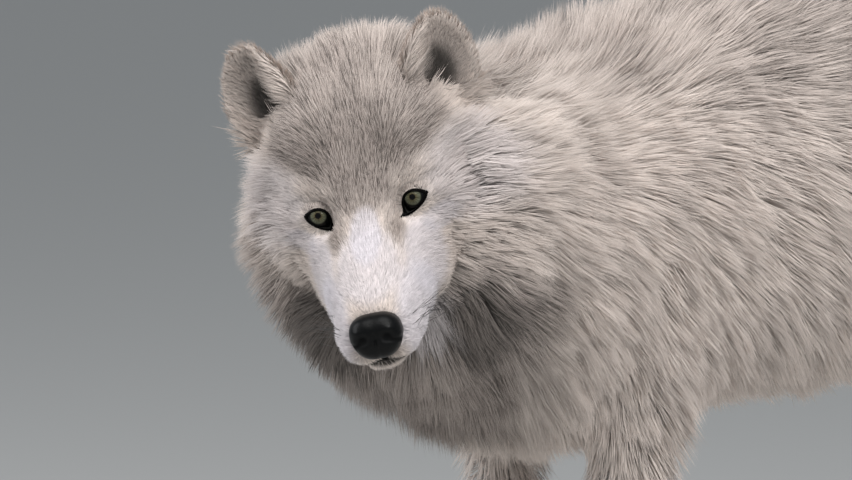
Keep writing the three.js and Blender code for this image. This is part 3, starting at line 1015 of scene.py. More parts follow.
def marks_and_painted_shade_at(points, normals):
    """The strength of each of the four markings at points of the row frame, including the shade painted
    under the cheek ruff, on the chest and in the clefts of the toes.
    """
    marks_and_painted_shade = np.zeros((len(points), 4))
    body = (points - BODY_ORIGIN) * 1000
    local = on_head(points)
    for table, place in ((HEAD_MARKS_AND_SHADE, local), (BODY_MARKS_AND_SHADE, body)):
        for kind, centre, radii, strength in table:
            for side in (1, -1) if centre[0] > MIRRORED_MARKS else (1,):
                middle = np.array([side * centre[0], *centre[1:]])
                reach = np.linalg.norm((place - middle) / radii, axis=1)
                value = strength * ease((1 - reach) / MARK_SOFTNESS + 0.5)
                marks_and_painted_shade[:, kind] = 1 - (1 - marks_and_painted_shade[:, kind]) * (1 - value)
    uneven = 0.5 * sway(points, 0.09, 1.3) + 0.5 * sway(points, 0.035, 2.6)
    marks_and_painted_shade[:, GREY] = (marks_and_painted_shade[:, GREY] + 0.3 * uneven).clip(0, 1) * (1 - marks_and_painted_shade[:, WHITE])
    facing = normals @ HEAD_TURN
    marks_and_painted_shade[:, DARK] = np.maximum(marks_and_painted_shade[:, DARK], ease(2.0 - from_mouth(local) / 2.1))
    # Dark along the clefts between the toes: painted shade in the clefts.
    marks_and_painted_shade[:, DARK] = np.maximum(marks_and_painted_shade[:, DARK], 0.55 * toe_clefts(points))
    for side in (1, -1):
        inside = on_ear(local, side)
        across, rise, _ = ear_place(local[inside], side)
        back = ear_frame(side)[4]
        hollow = ease(-(facing[inside] @ back) * 1.6 - 0.2)
        middle = ease(1.25 - (np.abs(across - 1) / 18) ** 2 - ((rise - 0.2) / 0.46) ** 2)
        marks_and_painted_shade[inside, DARK] = np.maximum(marks_and_painted_shade[inside, DARK], 0.88 * hollow * middle)
        own = ease((rise - 0.1) / 0.3)
        within = ease(1.35 - 1.3 * np.abs(across) / EAR_HALF_WIDTH - ease(rise * 2.5 - 1.7))
        grey = marks_and_painted_shade[inside, GREY] * (1 - own) + 0.42 * hollow * within * own
        marks_and_painted_shade[inside, GREY] = grey
        seen = on_eye(local, side)
        near = near_eye(seen)
        along, above = along_lids(seen[near, :2])
        outside = outside_lids(along, above)
        rim = np.maximum(ease(RIM_WIDTH - outside), ease(4 * in_tear(along, above)))
        marks_and_painted_shade[near, DARK] = np.maximum(marks_and_painted_shade[near, DARK], rim)
        brow = 0.75 * ease(1.5 - outside / 5) * ease(above / 3)
        marks_and_painted_shade[near, GREY] = np.maximum(marks_and_painted_shade[near, GREY], brow)
        marks_and_painted_shade[near, WHITE] *= 1 - 0.6 * brow
    return marks_and_painted_shade


def write_attribute(mesh, name, kind, values):
    layer = mesh.attributes.new(name, kind, "POINT")
    held = "color" if kind == "FLOAT_COLOR" else "vector"
    layer.data.foreach_set(held, values.astype(np.float32).ravel())


SOFT_HAIRS = 0.68  # share of the hairs that are not dark-tipped guard hairs


def coat_colour_group():
    """Colour of the coat from its markings, with darker roots, dark guard hairs and uneven locks. The
    darker roots are partly darker underfur and partly painted shade deep in the coat.
    """
    tree = bpy.data.node_groups.new("coat colour", "ShaderNodeTree")
    for name in ("Cream", "White", "Grey", "Dark", "Tan", "Guard"):
        tree.interface.new_socket(name, in_out="INPUT", socket_type="NodeSocketColor")
    for name in ("Dark roots and painted depth shade", "Unevenness"):
        tree.interface.new_socket(name, in_out="INPUT", socket_type="NodeSocketFloat")
    tree.interface.new_socket("Color", in_out="OUTPUT", socket_type="NodeSocketColor")
    nodes, links = tree.nodes, tree.links
    given = nodes.new("NodeGroupInput")
    marks_and_painted_shade = nodes.new("ShaderNodeAttribute")
    marks_and_painted_shade.attribute_name = "marks_and_painted_shade"
    strand = nodes.new("ShaderNodeAttribute")
    strand.attribute_name = "strand"
    parts = nodes.new("ShaderNodeSeparateColor")
    links.new(marks_and_painted_shade.outputs["Color"], parts.inputs["Color"])
    shares = nodes.new("ShaderNodeSeparateXYZ")
    links.new(strand.outputs["Vector"], shares.inputs["Vector"])
    along, single, lock = shares.outputs

    def maths(operation, first, second, third=None):
        node = nodes.new("ShaderNodeMath")
        node.operation = operation
        for socket, value in zip(node.inputs, (first, second, third)):
            if isinstance(value, (int, float)):
                socket.default_value = value
            elif value is not None:
                links.new(value, socket)
        return node.outputs[0]

    def blended(base, over, share, blend="MIX"):
        node = nodes.new("ShaderNodeMix")
        node.data_type = "RGBA"
        node.blend_type = blend
        factor, first, second = node.inputs[0], node.inputs[6], node.inputs[7]
        for socket, value in ((factor, share), (first, base), (second, over)):
            if isinstance(value, float):
                socket.default_value = value
            else:
                links.new(value, socket)
        return node.outputs[2]

    grey_share = maths("MULTIPLY", parts.outputs["Green"], maths("MULTIPLY_ADD", lock, 0.5, 0.65))
    colour = blended(given.outputs["Cream"], given.outputs["Grey"], grey_share)
    colour = blended(colour, given.outputs["White"], parts.outputs["Red"])
    colour = blended(colour, given.outputs["Tan"], marks_and_painted_shade.outputs["Alpha"])
    guard = maths("GREATER_THAN", single, SOFT_HAIRS)
    tip = maths("SMOOTH_MIN", maths("MULTIPLY", along, 1.6), 1.0, 0.2)
    darkness = maths("MULTIPLY", parts.outputs["Green"], 0.92)
    dark_tip = maths("MULTIPLY", maths("MULTIPLY", guard, tip), darkness)
    colour = blended(colour, given.outputs["Guard"], dark_tip)
    colour = blended(colour, given.outputs["Dark"], parts.outputs["Blue"])
    # Darker toward the root, less so on white fur: partly darker underfur, partly painted shade deep in
    # the coat.
    root = maths("SUBTRACT", 1.0, along)
    off_white = maths("MULTIPLY_ADD", parts.outputs["Red"], -0.7, 1.0)
    root_share = maths("MULTIPLY", given.outputs["Dark roots and painted depth shade"], off_white)
    shade = maths("SUBTRACT", 1.0, maths("MULTIPLY", maths("MULTIPLY", root, root), root_share))
    off_mean = maths("SUBTRACT", maths("ADD", single, lock), 1.0)
    spread = maths("MULTIPLY", off_mean, given.outputs["Unevenness"])
    level = maths("MULTIPLY", shade, maths("ADD", 1.0, spread))
    grey_level = nodes.new("ShaderNodeCombineXYZ")
    for socket in grey_level.inputs:
        links.new(level, socket)
    colour = blended(colour, grey_level.outputs[0], 1.0, "MULTIPLY")
    result = nodes.new("NodeGroupOutput")
    links.new(colour, result.inputs["Color"])
    return tree


coat_colour = coat_colour_group()
CREAM = (0.79, 0.69, 0.625, 1)
SNOW = (0.735, 0.695, 0.73, 1)
SMOKE = (0.50, 0.425, 0.385, 1)
BARK = (0.10, 0.085, 0.075, 1)
SOOT = (0.022, 0.021, 0.018, 1)
BUFF = (0.36, 0.29, 0.25, 1)


def coat_material(name, roughness, dark_roots_and_painted_shade, unevenness):
    material = bpy.data.materials.new(name)
    material.use_nodes = True
    nodes, links = material.node_tree.nodes, material.node_tree.links
    shader = nodes["Principled BSDF"]
    shader.inputs["Roughness"].default_value = roughness
    shader.inputs["Specular IOR Level"].default_value = 0.22
    group = nodes.new("ShaderNodeGroup")
    group.node_tree = coat_colour
    tones = (CREAM, SNOW, SMOKE, SOOT, BUFF, BARK)
    for socket, value in zip(group.inputs, (*tones, dark_roots_and_painted_shade, unevenness)):
        socket.default_value = value
    links.new(group.outputs["Color"], shader.inputs["Base Color"])
    return material


def grain_group():
    """A fine grain that stands a little out of the surface, as on hide and on bare black skin."""
    tree = bpy.data.node_groups.new("fine grain", "ShaderNodeTree")
    for name in ("Scale", "Detail", "Strength", "Height"):
        tree.interface.new_socket(name, in_out="INPUT", socket_type="NodeSocketFloat")
    tree.interface.new_socket("Normal", in_out="OUTPUT", socket_type="NodeSocketVector")
    nodes, links = tree.nodes, tree.links
    given = nodes.new("NodeGroupInput")
    place = nodes.new("ShaderNodeTexCoord")
    grain = nodes.new("ShaderNodeTexNoise")
    bump = nodes.new("ShaderNodeBump")
    links.new(place.outputs["Object"], grain.inputs["Vector"])
    links.new(given.outputs["Scale"], grain.inputs["Scale"])
    links.new(given.outputs["Detail"], grain.inputs["Detail"])
    links.new(given.outputs["Strength"], bump.inputs["Strength"])
    links.new(given.outputs["Height"], bump.inputs["Distance"])
    links.new(grain.outputs["Fac"], bump.inputs["Height"])
    result = nodes.new("NodeGroupOutput")
    links.new(bump.outputs["Normal"], result.inputs["Normal"])
    return tree


fine_grain = grain_group()


def grained(material, scale, detail, strength, height):
    """Places the grain in a material, with that material's own values."""
    nodes, links = material.node_tree.nodes, material.node_tree.links
    group = nodes.new("ShaderNodeGroup")
    group.node_tree = fine_grain
    for socket, value in zip(group.inputs, (scale, detail, strength, height)):
        socket.default_value = value
    links.new(group.outputs["Normal"], nodes["Principled BSDF"].inputs["Normal"])
    return material


# The skin takes the darker roots of the coat: partly darker underfur, partly painted shade under the
# hair.
UNDERFUR_STRAND = [0.35, 0.5, 0.5]  # the skin is coloured like this far along a middling hair

skin_material = grained(coat_material("short underfur on skin", 0.9, 0.5, 0.0), 900, 3, 0.5, 0.0012)
skin.data.materials.clear()
skin.data.materials.append(skin_material)
skin_points, skin_normals = points_of(skin.data), normals_of(skin.data)
skin_strand = np.tile(UNDERFUR_STRAND, (len(skin_points), 1))
write_attribute(skin.data, "marks_and_painted_shade", "FLOAT_COLOR", marks_and_painted_shade_at(skin_points, skin_normals))
write_attribute(skin.data, "strand", "FLOAT_VECTOR", skin_strand)
skin.data.shade_smooth()
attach(skin, "root")
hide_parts(*BODY_NODES, "ear_left", "ear_right")

# ---- eyes ----
# Two glassy balls with a bulging cornea, a pale olive iris ringed in black and a small pupil, both
# looking the same way. They sit in the sockets of the skin and stand for the solids' eyeballs.
IRIS_REACH = 34.0  # degrees from the middle of the pupil to the rim of the iris
PUPIL_REACH = 10.5
CORNEA_RISE = 0.7  # mm
CORNEA_SUNK = 0.25
PUPIL_BLACK = (0.004, 0.004, 0.004)
IRIS_BLACK = (0.003, 0.003, 0.003)


def eye_material():
    material = bpy.data.materials.new("eye")
    material.use_nodes = True
    nodes, links = material.node_tree.nodes, material.node_tree.links
    shader = nodes["Principled BSDF"]
    shader.inputs["Roughness"].default_value = 0.4
    shader.inputs["Specular IOR Level"].default_value = 0.03
    shader.inputs["Coat Weight"].default_value = 0.9
    shader.inputs["Coat IOR"].default_value = 1.2
    shader.inputs["Coat Roughness"].default_value = 0.02
    place = nodes.new("ShaderNodeAttribute")
    place.attribute_name = "iris"
    parts = nodes.new("ShaderNodeSeparateXYZ")
    links.new(place.outputs["Vector"], parts.inputs[0])
    rays = nodes.new("ShaderNodeTexNoise")
    rays.inputs["Scale"].default_value = 5.0
    rays.inputs["Detail"].default_value = 4
    stretch = nodes.new("ShaderNodeMapping")
    stretch.inputs["Scale"].default_value = (0.5, 4, 4)
    links.new(place.outputs["Vector"], stretch.inputs["Vector"])
    links.new(stretch.outputs["Vector"], rays.inputs["Vector"])
    uneven = nodes.new("ShaderNodeMath")
    uneven.operation = "MULTIPLY_ADD"
    uneven.inputs[1].default_value = 0.05
    links.new(rays.outputs["Fac"], uneven.inputs[0])
    links.new(parts.outputs["X"], uneven.inputs[2])
    ramp = nodes.new("ShaderNodeValToRGB")
    links.new(uneven.outputs[0], ramp.inputs["Fac"])
    rings = [
        (0.0, PUPIL_BLACK),
        (PUPIL_REACH / 90 + 0.02, PUPIL_BLACK),
        (PUPIL_REACH / 90 + 0.035, (0.085, 0.07, 0.035)),
        (0.22, (0.12, 0.115, 0.07)),
        (0.33, (0.125, 0.13, 0.09)),
        (0.37, (0.045, 0.045, 0.03)),
        (0.405, IRIS_BLACK),
        (0.46, IRIS_BLACK),
    ]
    while len(ramp.color_ramp.elements) < len(rings):
        ramp.color_ramp.elements.new(0.5)
    for element, (position, colour) in zip(ramp.color_ramp.elements, rings):
        element.position = position
        element.color = (*colour, 1)
    fibre = nodes.new("ShaderNodeMix")
    fibre.data_type = "RGBA"
    fibre.blend_type = "MULTIPLY"
    fibre.inputs[0].default_value = 0.6
    links.new(ramp.outputs["Color"], fibre.inputs[6])
    contrast = nodes.new("ShaderNodeValToRGB")
    contrast.color_ramp.elements[0].position = 0.3
    contrast.color_ramp.elements[1].position = 0.6
    links.new(rays.outputs["Fac"], contrast.inputs["Fac"])
    links.new(contrast.outputs["Color"], fibre.inputs[7])
    links.new(fibre.outputs[2], shader.inputs["Base Color"])
    return material


def smooth_piece(shape, name, material):
    """A bmesh as a finished piece of one material."""
    piece = new_piece(name, mesh_from(shape, name))
    piece.data.shade_smooth()
    piece.data.materials.append(material)
    return piece


glassy = eye_material()
for side, name in ((1, "left"), (-1, "right")):
    shape = bmesh.new()
    made = ball(shape, 64, 72)
    unit_places = np.array([vertex.co for vertex in made])
    seen = np.stack([unit_places[:, 0], unit_places[:, 2], -unit_places[:, 1]], 1)
    reach = np.degrees(np.arccos(seen[:, 2].clip(-1, 1)))
    radius = BALL - CORNEA_SUNK + CORNEA_RISE * ease(1.1 - reach / IRIS_REACH)
    around = np.arctan2(seen[:, 1], seen[:, 0])
    for vertex, place in zip(made, from_head(from_eye(seen * radius[:, None], side))):
        vertex.co = place
    bmesh.ops.recalc_face_normals(shape, faces=shape.faces)
    eyeball = smooth_piece(shape, f"eyeball_{name}", glassy)
    iris_place = np.stack([reach / 90, np.cos(around) * 0.5, np.sin(around) * 0.5], 1)
    write_attribute(eyeball.data, "iris", "FLOAT_VECTOR", iris_place)
    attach(eyeball, "root")
    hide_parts(f"eye_{name}")

# ---- rims of the lids ----
# Bare black skin round each eye, a low soft roll that runs out in a dark line at the inner corner.
# The rolls lie on the eyeball and sink into the furred skin outside.

# Across the roll, each step's distance outward from the edge of the lids and height over them.
ROLL = np.array([(-0.4, -1.6), (-0.4, 0.4), (0.1, 0.9), (0.8, 0.9), (1.5, 0.4), (2.2, -0.9)])

black_rim = grained(plain_material("black rim", (0.002, 0.0018, 0.0016), 0.42), 900, 2, 0.2, 0.0004)
black_rim.node_tree.nodes["Principled BSDF"].inputs["Specular IOR Level"].default_value = 0.03
shape = bmesh.new()
for side in (1, -1):
    made = bmesh.ops.create_grid(shape, x_segments=96, y_segments=len(ROLL) - 1, size=1)["verts"]
    grid = np.array([vertex.co for vertex in made])
    turn = (grid[:, 0] + 1) * math.pi
    step = np.rint((grid[:, 1] + 1) / 2 * (len(ROLL) - 1)).astype(int)
    along, above = lid_edge(turn)
    ahead, up_ahead = lid_edge(turn + 0.01)
    behind, up_behind = lid_edge(turn - 0.01)
    normal = unit(np.stack([up_ahead - up_behind, -(ahead - behind)], 1))
    out, rise = ROLL[step].T
    upper = ease(np.sin(turn) * 1.3)
    rise = rise + 0.5 * upper * (step > 0)
    out = out - 0.3 * upper * (step < len(ROLL) - 1)
    inner = (1 - np.abs(turn - math.pi) / 0.55).clip(0, 1) ** 1.3
    outer = np.exp(-((np.minimum(turn, 2 * math.pi - turn) / 0.28) ** 2))
    tear = np.clip(out, 0, None) / ROLL[-1, 0]
    along = along + normal[:, 0] * out - TEAR_LENGTH * tear * inner + 0.6 * tear * outer
    above = above + normal[:, 1] * out - 1.0 * tear * inner
    flat = flat_of(along, above)
    level = lid_level(flat) + rise
    for index in np.nonzero(tear * inner > 0.02)[0]:
        high = from_eye(np.array([*flat[index], 40.0]), side)
        found = skin_tree.ray_cast(high, -eye_axes(side)[2])[0]
        share = min(1, 3 * tear[index] * inner[index])
        low = on_eye(np.array(found), side)[2] + 0.5 * rise[index]
        level[index] += (low - level[index]) * share
    seen = np.concatenate([flat, level[:, None]], 1)
    for vertex, place in zip(made, from_head(from_eye(seen, side))):
        vertex.co = place
bmesh.ops.remove_doubles(shape, verts=shape.verts, dist=2e-5)
bmesh.ops.recalc_face_normals(shape, faces=shape.faces)
rims = smooth_piece(shape, "eyelid_rims", black_rim)
rounding = rims.modifiers.new("round", "SUBSURF")
rounding.levels = 1
rounding.render_levels = 1
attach(rims, "root")

# ---- nose ----
# A bare black pad of pebbled leather on the end of the muzzle, squarish in front, with comma-shaped
# nostrils that open to the sides and a groove down the middle. It stands for the solids' nose.
NOSE_PLACE = np.array([0, -106, -45])  # mm on the head's axes
NOSE_HALF = np.array([20.0, 15.5, 17.0])
NOSE_SQUARING = np.array([0.68, 0.8, 0.68])  # 1 leaves the pad round, less makes it squarer
NOSE_TILT = math.radians(-24)


def nose_material():
    material = plain_material("nose leather", (0.0025, 0.0026, 0.0027), 0.3)
    nodes, links = material.node_tree.nodes, material.node_tree.links
    nodes["Principled BSDF"].inputs["Specular IOR Level"].default_value = 0.14
    place = nodes.new("ShaderNodeTexCoord")
    pebbles = nodes.new("ShaderNodeTexVoronoi")
    pebbles.feature = "F1"
    pebbles.inputs["Scale"].default_value = 1100
    links.new(place.outputs["Object"], pebbles.inputs["Vector"])
    bump = nodes.new("ShaderNodeBump")
    bump.invert = True
    bump.inputs["Strength"].default_value = 0.3
    bump.inputs["Distance"].default_value = 0.0003
    links.new(pebbles.outputs["Distance"], bump.inputs["Height"])
    links.new(bump.outputs["Normal"], nodes["Principled BSDF"].inputs["Normal"])
    hollow = nodes.new("ShaderNodeAttribute")
    hollow.attribute_name = "hollow"
    matt = nodes.new("ShaderNodeMath")
    matt.operation = "MULTIPLY_ADD"
    matt.inputs[1].default_value = 0.6
    matt.inputs[2].default_value = 0.32
    links.new(hollow.outputs["Fac"], matt.inputs[0])
    links.new(matt.outputs[0], nodes["Principled BSDF"].inputs["Roughness"])
    return material


# On the pad's own axes, in mm: x to the left, y back, z up.
shape = bmesh.new()
made = ball(shape, 96, 96)
pad = np.array([vertex.co for vertex in made])
pad = np.sign(pad) * np.abs(pad) ** NOSE_SQUARING
pad *= NOSE_HALF
x, y, z = pad.T
x = x * (1 - 0.24 * np.clip(-z / 17.5, 0, 1)) * (1 - 0.06 * np.clip(z / 17.5, 0, 1) ** 2)
front = ease((-y - 1) / 6)
nostril = np.exp(-(((np.abs(x) - 9.0) / 3.4) ** 2) - ((z + 0.5) / 3.2) ** 2)
slit = np.exp(-(((z + 2.5 + 0.35 * (np.abs(x) - 10)) / 1.5) ** 2)) * ease((np.abs(x) - 9) / 4)
wing = np.exp(-(((np.abs(x) - 12) / 4.0) ** 2) - ((z - 5.5) / 3.0) ** 2)
groove = np.exp(-((x / 1.0) ** 2)) * ease((5 - z) / 5)
top_dip = np.exp(-((x / 5.0) ** 2)) * ease((z - 5) / 8)
y = y + front * (2.6 * nostril + 1.2 * slit - 1.0 * wing + 1.5 * groove + 0.8 * top_dip)
pad = np.stack([x, y, z], 1)
tilt = np.array(Matrix.Rotation(NOSE_TILT, 3, "X"))
for vertex, place in zip(made, from_head(pad @ tilt.T + NOSE_PLACE)):
    vertex.co = place
bmesh.ops.recalc_face_normals(shape, faces=shape.faces)
nose_pad = smooth_piece(shape, "nose_pad", nose_material())
hollow_share = np.clip(front * (nostril + slit) * 1.6, 0, 1)
write_attribute(nose_pad.data, "hollow", "FLOAT_VECTOR", np.repeat(hollow_share[:, None], 3, 1))
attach(nose_pad, "root")
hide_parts("nose")

# ---- lips ----
# The closed mouth: a narrow black roll of bare lip along each side, joined under the nose, with the
# cleft that runs up from it to the nose pad.
LIP_THICK = 1.5
CLEFT_THICK = 0.8


def rolled(shape, line, radius, rings=40):
    """A tapering roll along a line of points on the head."""
    made = bmesh.ops.create_grid(shape, x_segments=rings, y_segments=10, size=1)["verts"]
    grid = np.array([vertex.co for vertex in made])
    share = (grid[:, 0] + 1) / 2
    turn = (grid[:, 1] + 1) * math.pi
    spine = curve_through(line, share)
    heading = curve_through(line, share + 0.01) - curve_through(line, share - 0.01)
    heading /= np.linalg.norm(heading, axis=1, keepdims=True)
    level = np.cross(heading, [0, 0.0, 1])
    if np.abs(heading[:, 2]).max() > 0.8:
        level = np.cross(heading, [1.0, 0, 0])
    level /= np.linalg.norm(level, axis=1, keepdims=True)
    upright = np.cross(level, heading)
    size = radius * np.sqrt(np.clip(1 - (2 * share - 1) ** 8, 0.02, 1))
    sideways, upward = (size * np.cos(turn))[:, None], (size * np.sin(turn))[:, None]
    places = spine + level * sideways + upright * upward
    for vertex, place in zip(made, from_head(places)):
        vertex.co = place


shape = bmesh.new()
for side in (1, -1):
    spots = curve_through(LIP_LINE * [side, 1, 1], np.linspace(0, 1, 24))
    rolled(shape, laid_on_skin(spots, 0.3), LIP_THICK)
rolled(shape, laid_on_skin(CLEFT, 0.2), CLEFT_THICK, rings=12)
bmesh.ops.remove_doubles(shape, verts=shape.verts, dist=2e-5)
bmesh.ops.recalc_face_normals(shape, faces=shape.faces)
lips = smooth_piece(shape, "lips", black_rim)
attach(lips, "root")

# ---- claws ----
# Sixteen blunt curved claws of dark horn, four to a paw, each growing from the end of a toe and
# reaching forward and down to just over the floor.
CLAW_LENGTH = 17
CLAW_HALF = 4.0  # half its thickness at the root
CLAW_BEND = 1.25
CLAW_RISE = 0.27  # height of its root, as a share of the paw's
MIDDLE_TOE, OUTER_TOE, TOE_END = 0.27, 0.17, 0.12  # how far ahead it grows, of the paw's length


def claw_material():
    material = plain_material("claw horn", (0.06, 0.045, 0.035), 0.38)
    nodes, links = material.node_tree.nodes, material.node_tree.links
    place = nodes.new("ShaderNodeTexCoord")
    streaks = nodes.new("ShaderNodeTexNoise")
    streaks.inputs["Scale"].default_value = 260
    streaks.inputs["Detail"].default_value = 4
    stretch = nodes.new("ShaderNodeMapping")
    stretch.inputs["Scale"].default_value = (3, 0.4, 3)
    links.new(place.outputs["Object"], stretch.inputs["Vector"])
    links.new(stretch.outputs["Vector"], streaks.inputs["Vector"])
    tone = nodes.new("ShaderNodeValToRGB")
    tone.color_ramp.elements[0].color = (0.02, 0.016, 0.013, 1)
    tone.color_ramp.elements[1].color = (0.13, 0.10, 0.08, 1)
    links.new(streaks.outputs["Fac"], tone.inputs["Fac"])
    links.new(tone.outputs["Color"], nodes["Principled BSDF"].inputs["Base Color"])
    return material


shape = bmesh.new()
for side, paw_x, paw_y, ahead, length, width, height in PAWS.values():
    for toe in range(4):
        spread = toe - 1.5
        forward = length * (MIDDLE_TOE if abs(spread) < 1 else OUTER_TOE)
        root_x = side * paw_x + spread * width * TOE_GAP + spread * length * TOE_SPREAD
        root_y = paw_y + ahead - forward - length * TOE_END
        for vertex in ball(shape, 12, 14):
            share = (1 - vertex.co.y) / 2
            thick = CLAW_HALF * (1 - 0.7 * share**1.6)
            bend = CLAW_BEND * share
            reach = CLAW_LENGTH * share
            place = Vector(
                (
                    root_x + vertex.co.x * thick * 0.8 + spread * 1.2 * share,
                    root_y - reach * math.cos(bend * 0.5),
                    height * CLAW_RISE - reach * math.sin(bend * 0.5) + vertex.co.z * thick,
                )
            )
            vertex.co = Vector(BODY_ORIGIN) + place * 0.001
bmesh.ops.recalc_face_normals(shape, faces=shape.faces)
claws = smooth_piece(shape, "claws", claw_material())
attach(claws, "root")

# ---- coat ----
# Long guard hairs over wool, grown from the skin as thin tapered blades that gather into locks. Each
# region is a piece of its own, hairs finest on the face and feet, longest in the mane and tail.

# Region: hairs to a square centimetre, width of a hair in mm, steps along it, hairs to a lock, and
# how closely a lock's tips draw together.
HAIR = {
    "muzzle": (225, 0.45, 2, 10, 0.25),
    "forehead": (150, 0.6, 2, 9, 0.45),
    "crown": (100, 0.7, 2, 14, 0.5),
    "cheek": (84, 0.75, 2, 26, 0.68),
    "ear": (110, 0.6, 2, 8, 0.35),
    "neck": (70, 0.75, 2, 36, 0.7),
    "chest": (66, 0.75, 2, 36, 0.72),
    "shoulder": (46, 0.9, 2, 30, 0.68),
    "back": (25, 1.0, 2, 18, 0.45),
    "flank": (24, 1.0, 2, 18, 0.45),
    "haunch": (27, 1.0, 2, 16, 0.42),
    "fore_leg": (28, 0.95, 2, 10, 0.4),
    "hind_leg": (26, 0.95, 2, 10, 0.4),
    "paw": (42, 0.8, 2, 8, 0.3),
    "tail": (30, 1.1, 3, 18, 0.55),
}
rng = np.random.default_rng(11)
skin.data.calc_loop_triangles()
triangles = np.empty(len(skin.data.loop_triangles) * 3, int)
skin.data.loop_triangles.foreach_get("vertices", triangles)
triangles = triangles.reshape(-1, 3)
corners = skin_points[triangles]
across = np.cross(corners[:, 1] - corners[:, 0], corners[:, 2] - corners[:, 0])
areas = np.linalg.norm(across, axis=1) / 2
centres = corners.mean(1)
regions = regions_of(lie_weights(centres))
local_centres = on_head(centres)
EAR = len(REGIONS)
for side in (1, -1):
    regions[on_ear(local_centres, side)] = EAR

# Bare places: under the nose pad, at the lips, and inside the lids and the corners of the eyes.
BARE_LIP = 2.0
BARE_LID = 1.5
from_nose = (local_centres - NOSE_PLACE) @ tilt / NOSE_HALF
covered = (np.linalg.norm(from_nose, axis=1) > 0.97) & (from_mouth(local_centres) > BARE_LIP)
for side in (1, -1):
    seen = on_eye(local_centres, side)
    near = near_eye(seen)
    along, above = along_lids(seen[near, :2])
    covered[near] &= (outside_lids(along, above) > BARE_LID) & (in_tear(along, above) < 0.1)

# The distance from the skin to the solids' outline, on either side of it. Hair is raised in step
# with it, by a fullness of its region's own, up to so many times the depth in the coat's table.
skin_gap = np.array([[outline.find_nearest(place)[3]] for place in skin_points])
skin_gap = smoothed(skin_gap, edges_of(skin.data), 12)[:, 0]
FULLNESS = {"crown": 1.35, "cheek": 1.5, "neck": 1.6, "chest": 1.25, "shoulder": 1.3}
USUAL_FULLNESS = 1.15
GAP_CAP = {"muzzle": 1.2, "forehead": 1.6, "paw": 1.3, "fore_leg": 1.5, "hind_leg": 1.5}
USUAL_CAP = 1.8
STRAY = {"crown": 0.013, "cheek": 0.009, "forehead": 0.009}  # how far tips may pass the outline
STEEPEST = 0.8  # of a hair's length, the most that its tip stands over the skin
LONG_HAIR = 0.03  # a region whose hairs are longer on average hangs, and is shaded more broadly

broad_normals = unit(smoothed(skin_normals, edges_of(skin.data), 60))


def nearest_of(places, targets):
    """Index of the nearest target to each place."""
    tree = kdtree.KDTree(len(targets))
    for index, target in enumerate(targets):
        tree.insert(target, index)
    tree.balance()
    return np.array([tree.find(place)[1] for place in places])


def ear_lie(local, normals, way, length, depth):
    """The lie of the hair on the ears, which follows their rims."""
    facing = normals @ HEAD_TURN
    for side in (1, -1):
        chosen = on_ear(local, side)
        _, _, inward, up, back = ear_frame(side)
        across, rise, _ = ear_place(local[chosen], side)
        inside = facing[chosen] @ back < 0
        spread = (across / EAR_HALF_WIDTH)[:, None] * inward
        inner_edge = ease((across - 4) / 14)[:, None]
        in_cup = up * 0.8 - inward * inner_edge * 0.9 + spread * (1 - inner_edge) * 0.8
        flow = np.where(inside[:, None], in_cup, up + 0.55 * spread)
        way[chosen] = flow @ HEAD_TURN.T
        rim = ease(np.abs(across) / EAR_HALF_WIDTH * 2.2 - 1.1) + ease(rise * 4 - 3)
        tuft = inner_edge[:, 0] * ease(1.2 - rise)
        length[chosen] = 0.001 * np.where(inside, 8 + 16 * tuft, 10 + 3 * np.minimum(rim, 1))
        depth[chosen] = 0.001 * np.where(inside, 2.5 + 7 * tuft, 3.5 + 1.5 * np.minimum(rim, 1))


UNDER_EAR = np.array([70, 103, -8])  # mm on the head's axes
UNDER_EAR_REACH = 24


def about_ears(local, length, depth):
    """Shortens the hair on the roots of the ears and under them."""
    for side in (1, -1):
        across, rise, behind = ear_place(local, side)
        root = (np.abs(across) < 40) & (rise < 0.4) & (behind > -26) & (behind < 20)
        share = ease((rise + 0.5) / 0.35) * root * np.where(behind < -4, 0.65, 1)
        length *= 1 - 0.62 * share
        depth *= 1 - 0.75 * share
        from_place = (local - UNDER_EAR * [side, 1, 1]) / UNDER_EAR_REACH
        length *= 1 - 0.4 * ease(1.6 - np.linalg.norm(from_place, axis=1))


def about_eyes(local, way, length, depth):
    """Shortens the hair about the eyes and turns it away from the lids."""
    for side in (1, -1):
        seen = on_eye(local, side)
        near = np.nonzero(near_eye(seen))[0]
        along, above = along_lids(seen[near, :2])
        far = ease((outside_lids(along, above) - 2) / 12)
        length[near] *= 0.4 + 0.6 * far
        depth[near] *= 0.2 + 0.8 * far
        middle = flat_of(np.array([LID_MIDDLE]), np.array([3.0]))
        apart = np.concatenate([seen[near, :2] - middle, np.zeros((len(near), 1))], 1)
        away = unit(apart) @ eye_axes(side) @ HEAD_TURN.T
        way[near] = unit(way[near]) + away * (1.5 * (1 - far))[:, None]


def hair_paths(roots, normals, ways, lengths, lifts, steps, droop):
    """Points along each hair: it leaves the skin steeply, then lies over and hangs a little."""
    places = [roots]
    down = np.array([0, 0, -1.0])
    for step in range(steps):
        share = (step + 0.5) / steps
        lift = (lifts * (1.5 - share))[:, None]
        heading = unit(np.cos(lift) * ways + np.sin(lift) * normals + down * (droop * share))
        places.append(places[-1] + heading * (lengths / steps)[:, None])
    return np.stack(places, 1)


def scattered(faces, density):
    """Places for hairs: for each, its triangle among the given ones and shares of three corners."""
    edges = np.cumsum(areas[faces])
    count = int(areas[faces].sum() * 1e4 * density)
    along = (np.arange(count) + rng.random(count)) / count * edges[-1]
    picks = np.searchsorted(edges, along).clip(0, len(faces) - 1)
    first, second = rng.random(count), rng.random(count)
    flip = first + second > 1
    first[flip], second[flip] = 1 - first[flip], 1 - second[flip]
    return picks, np.stack([1 - first - second, first, second], 1)


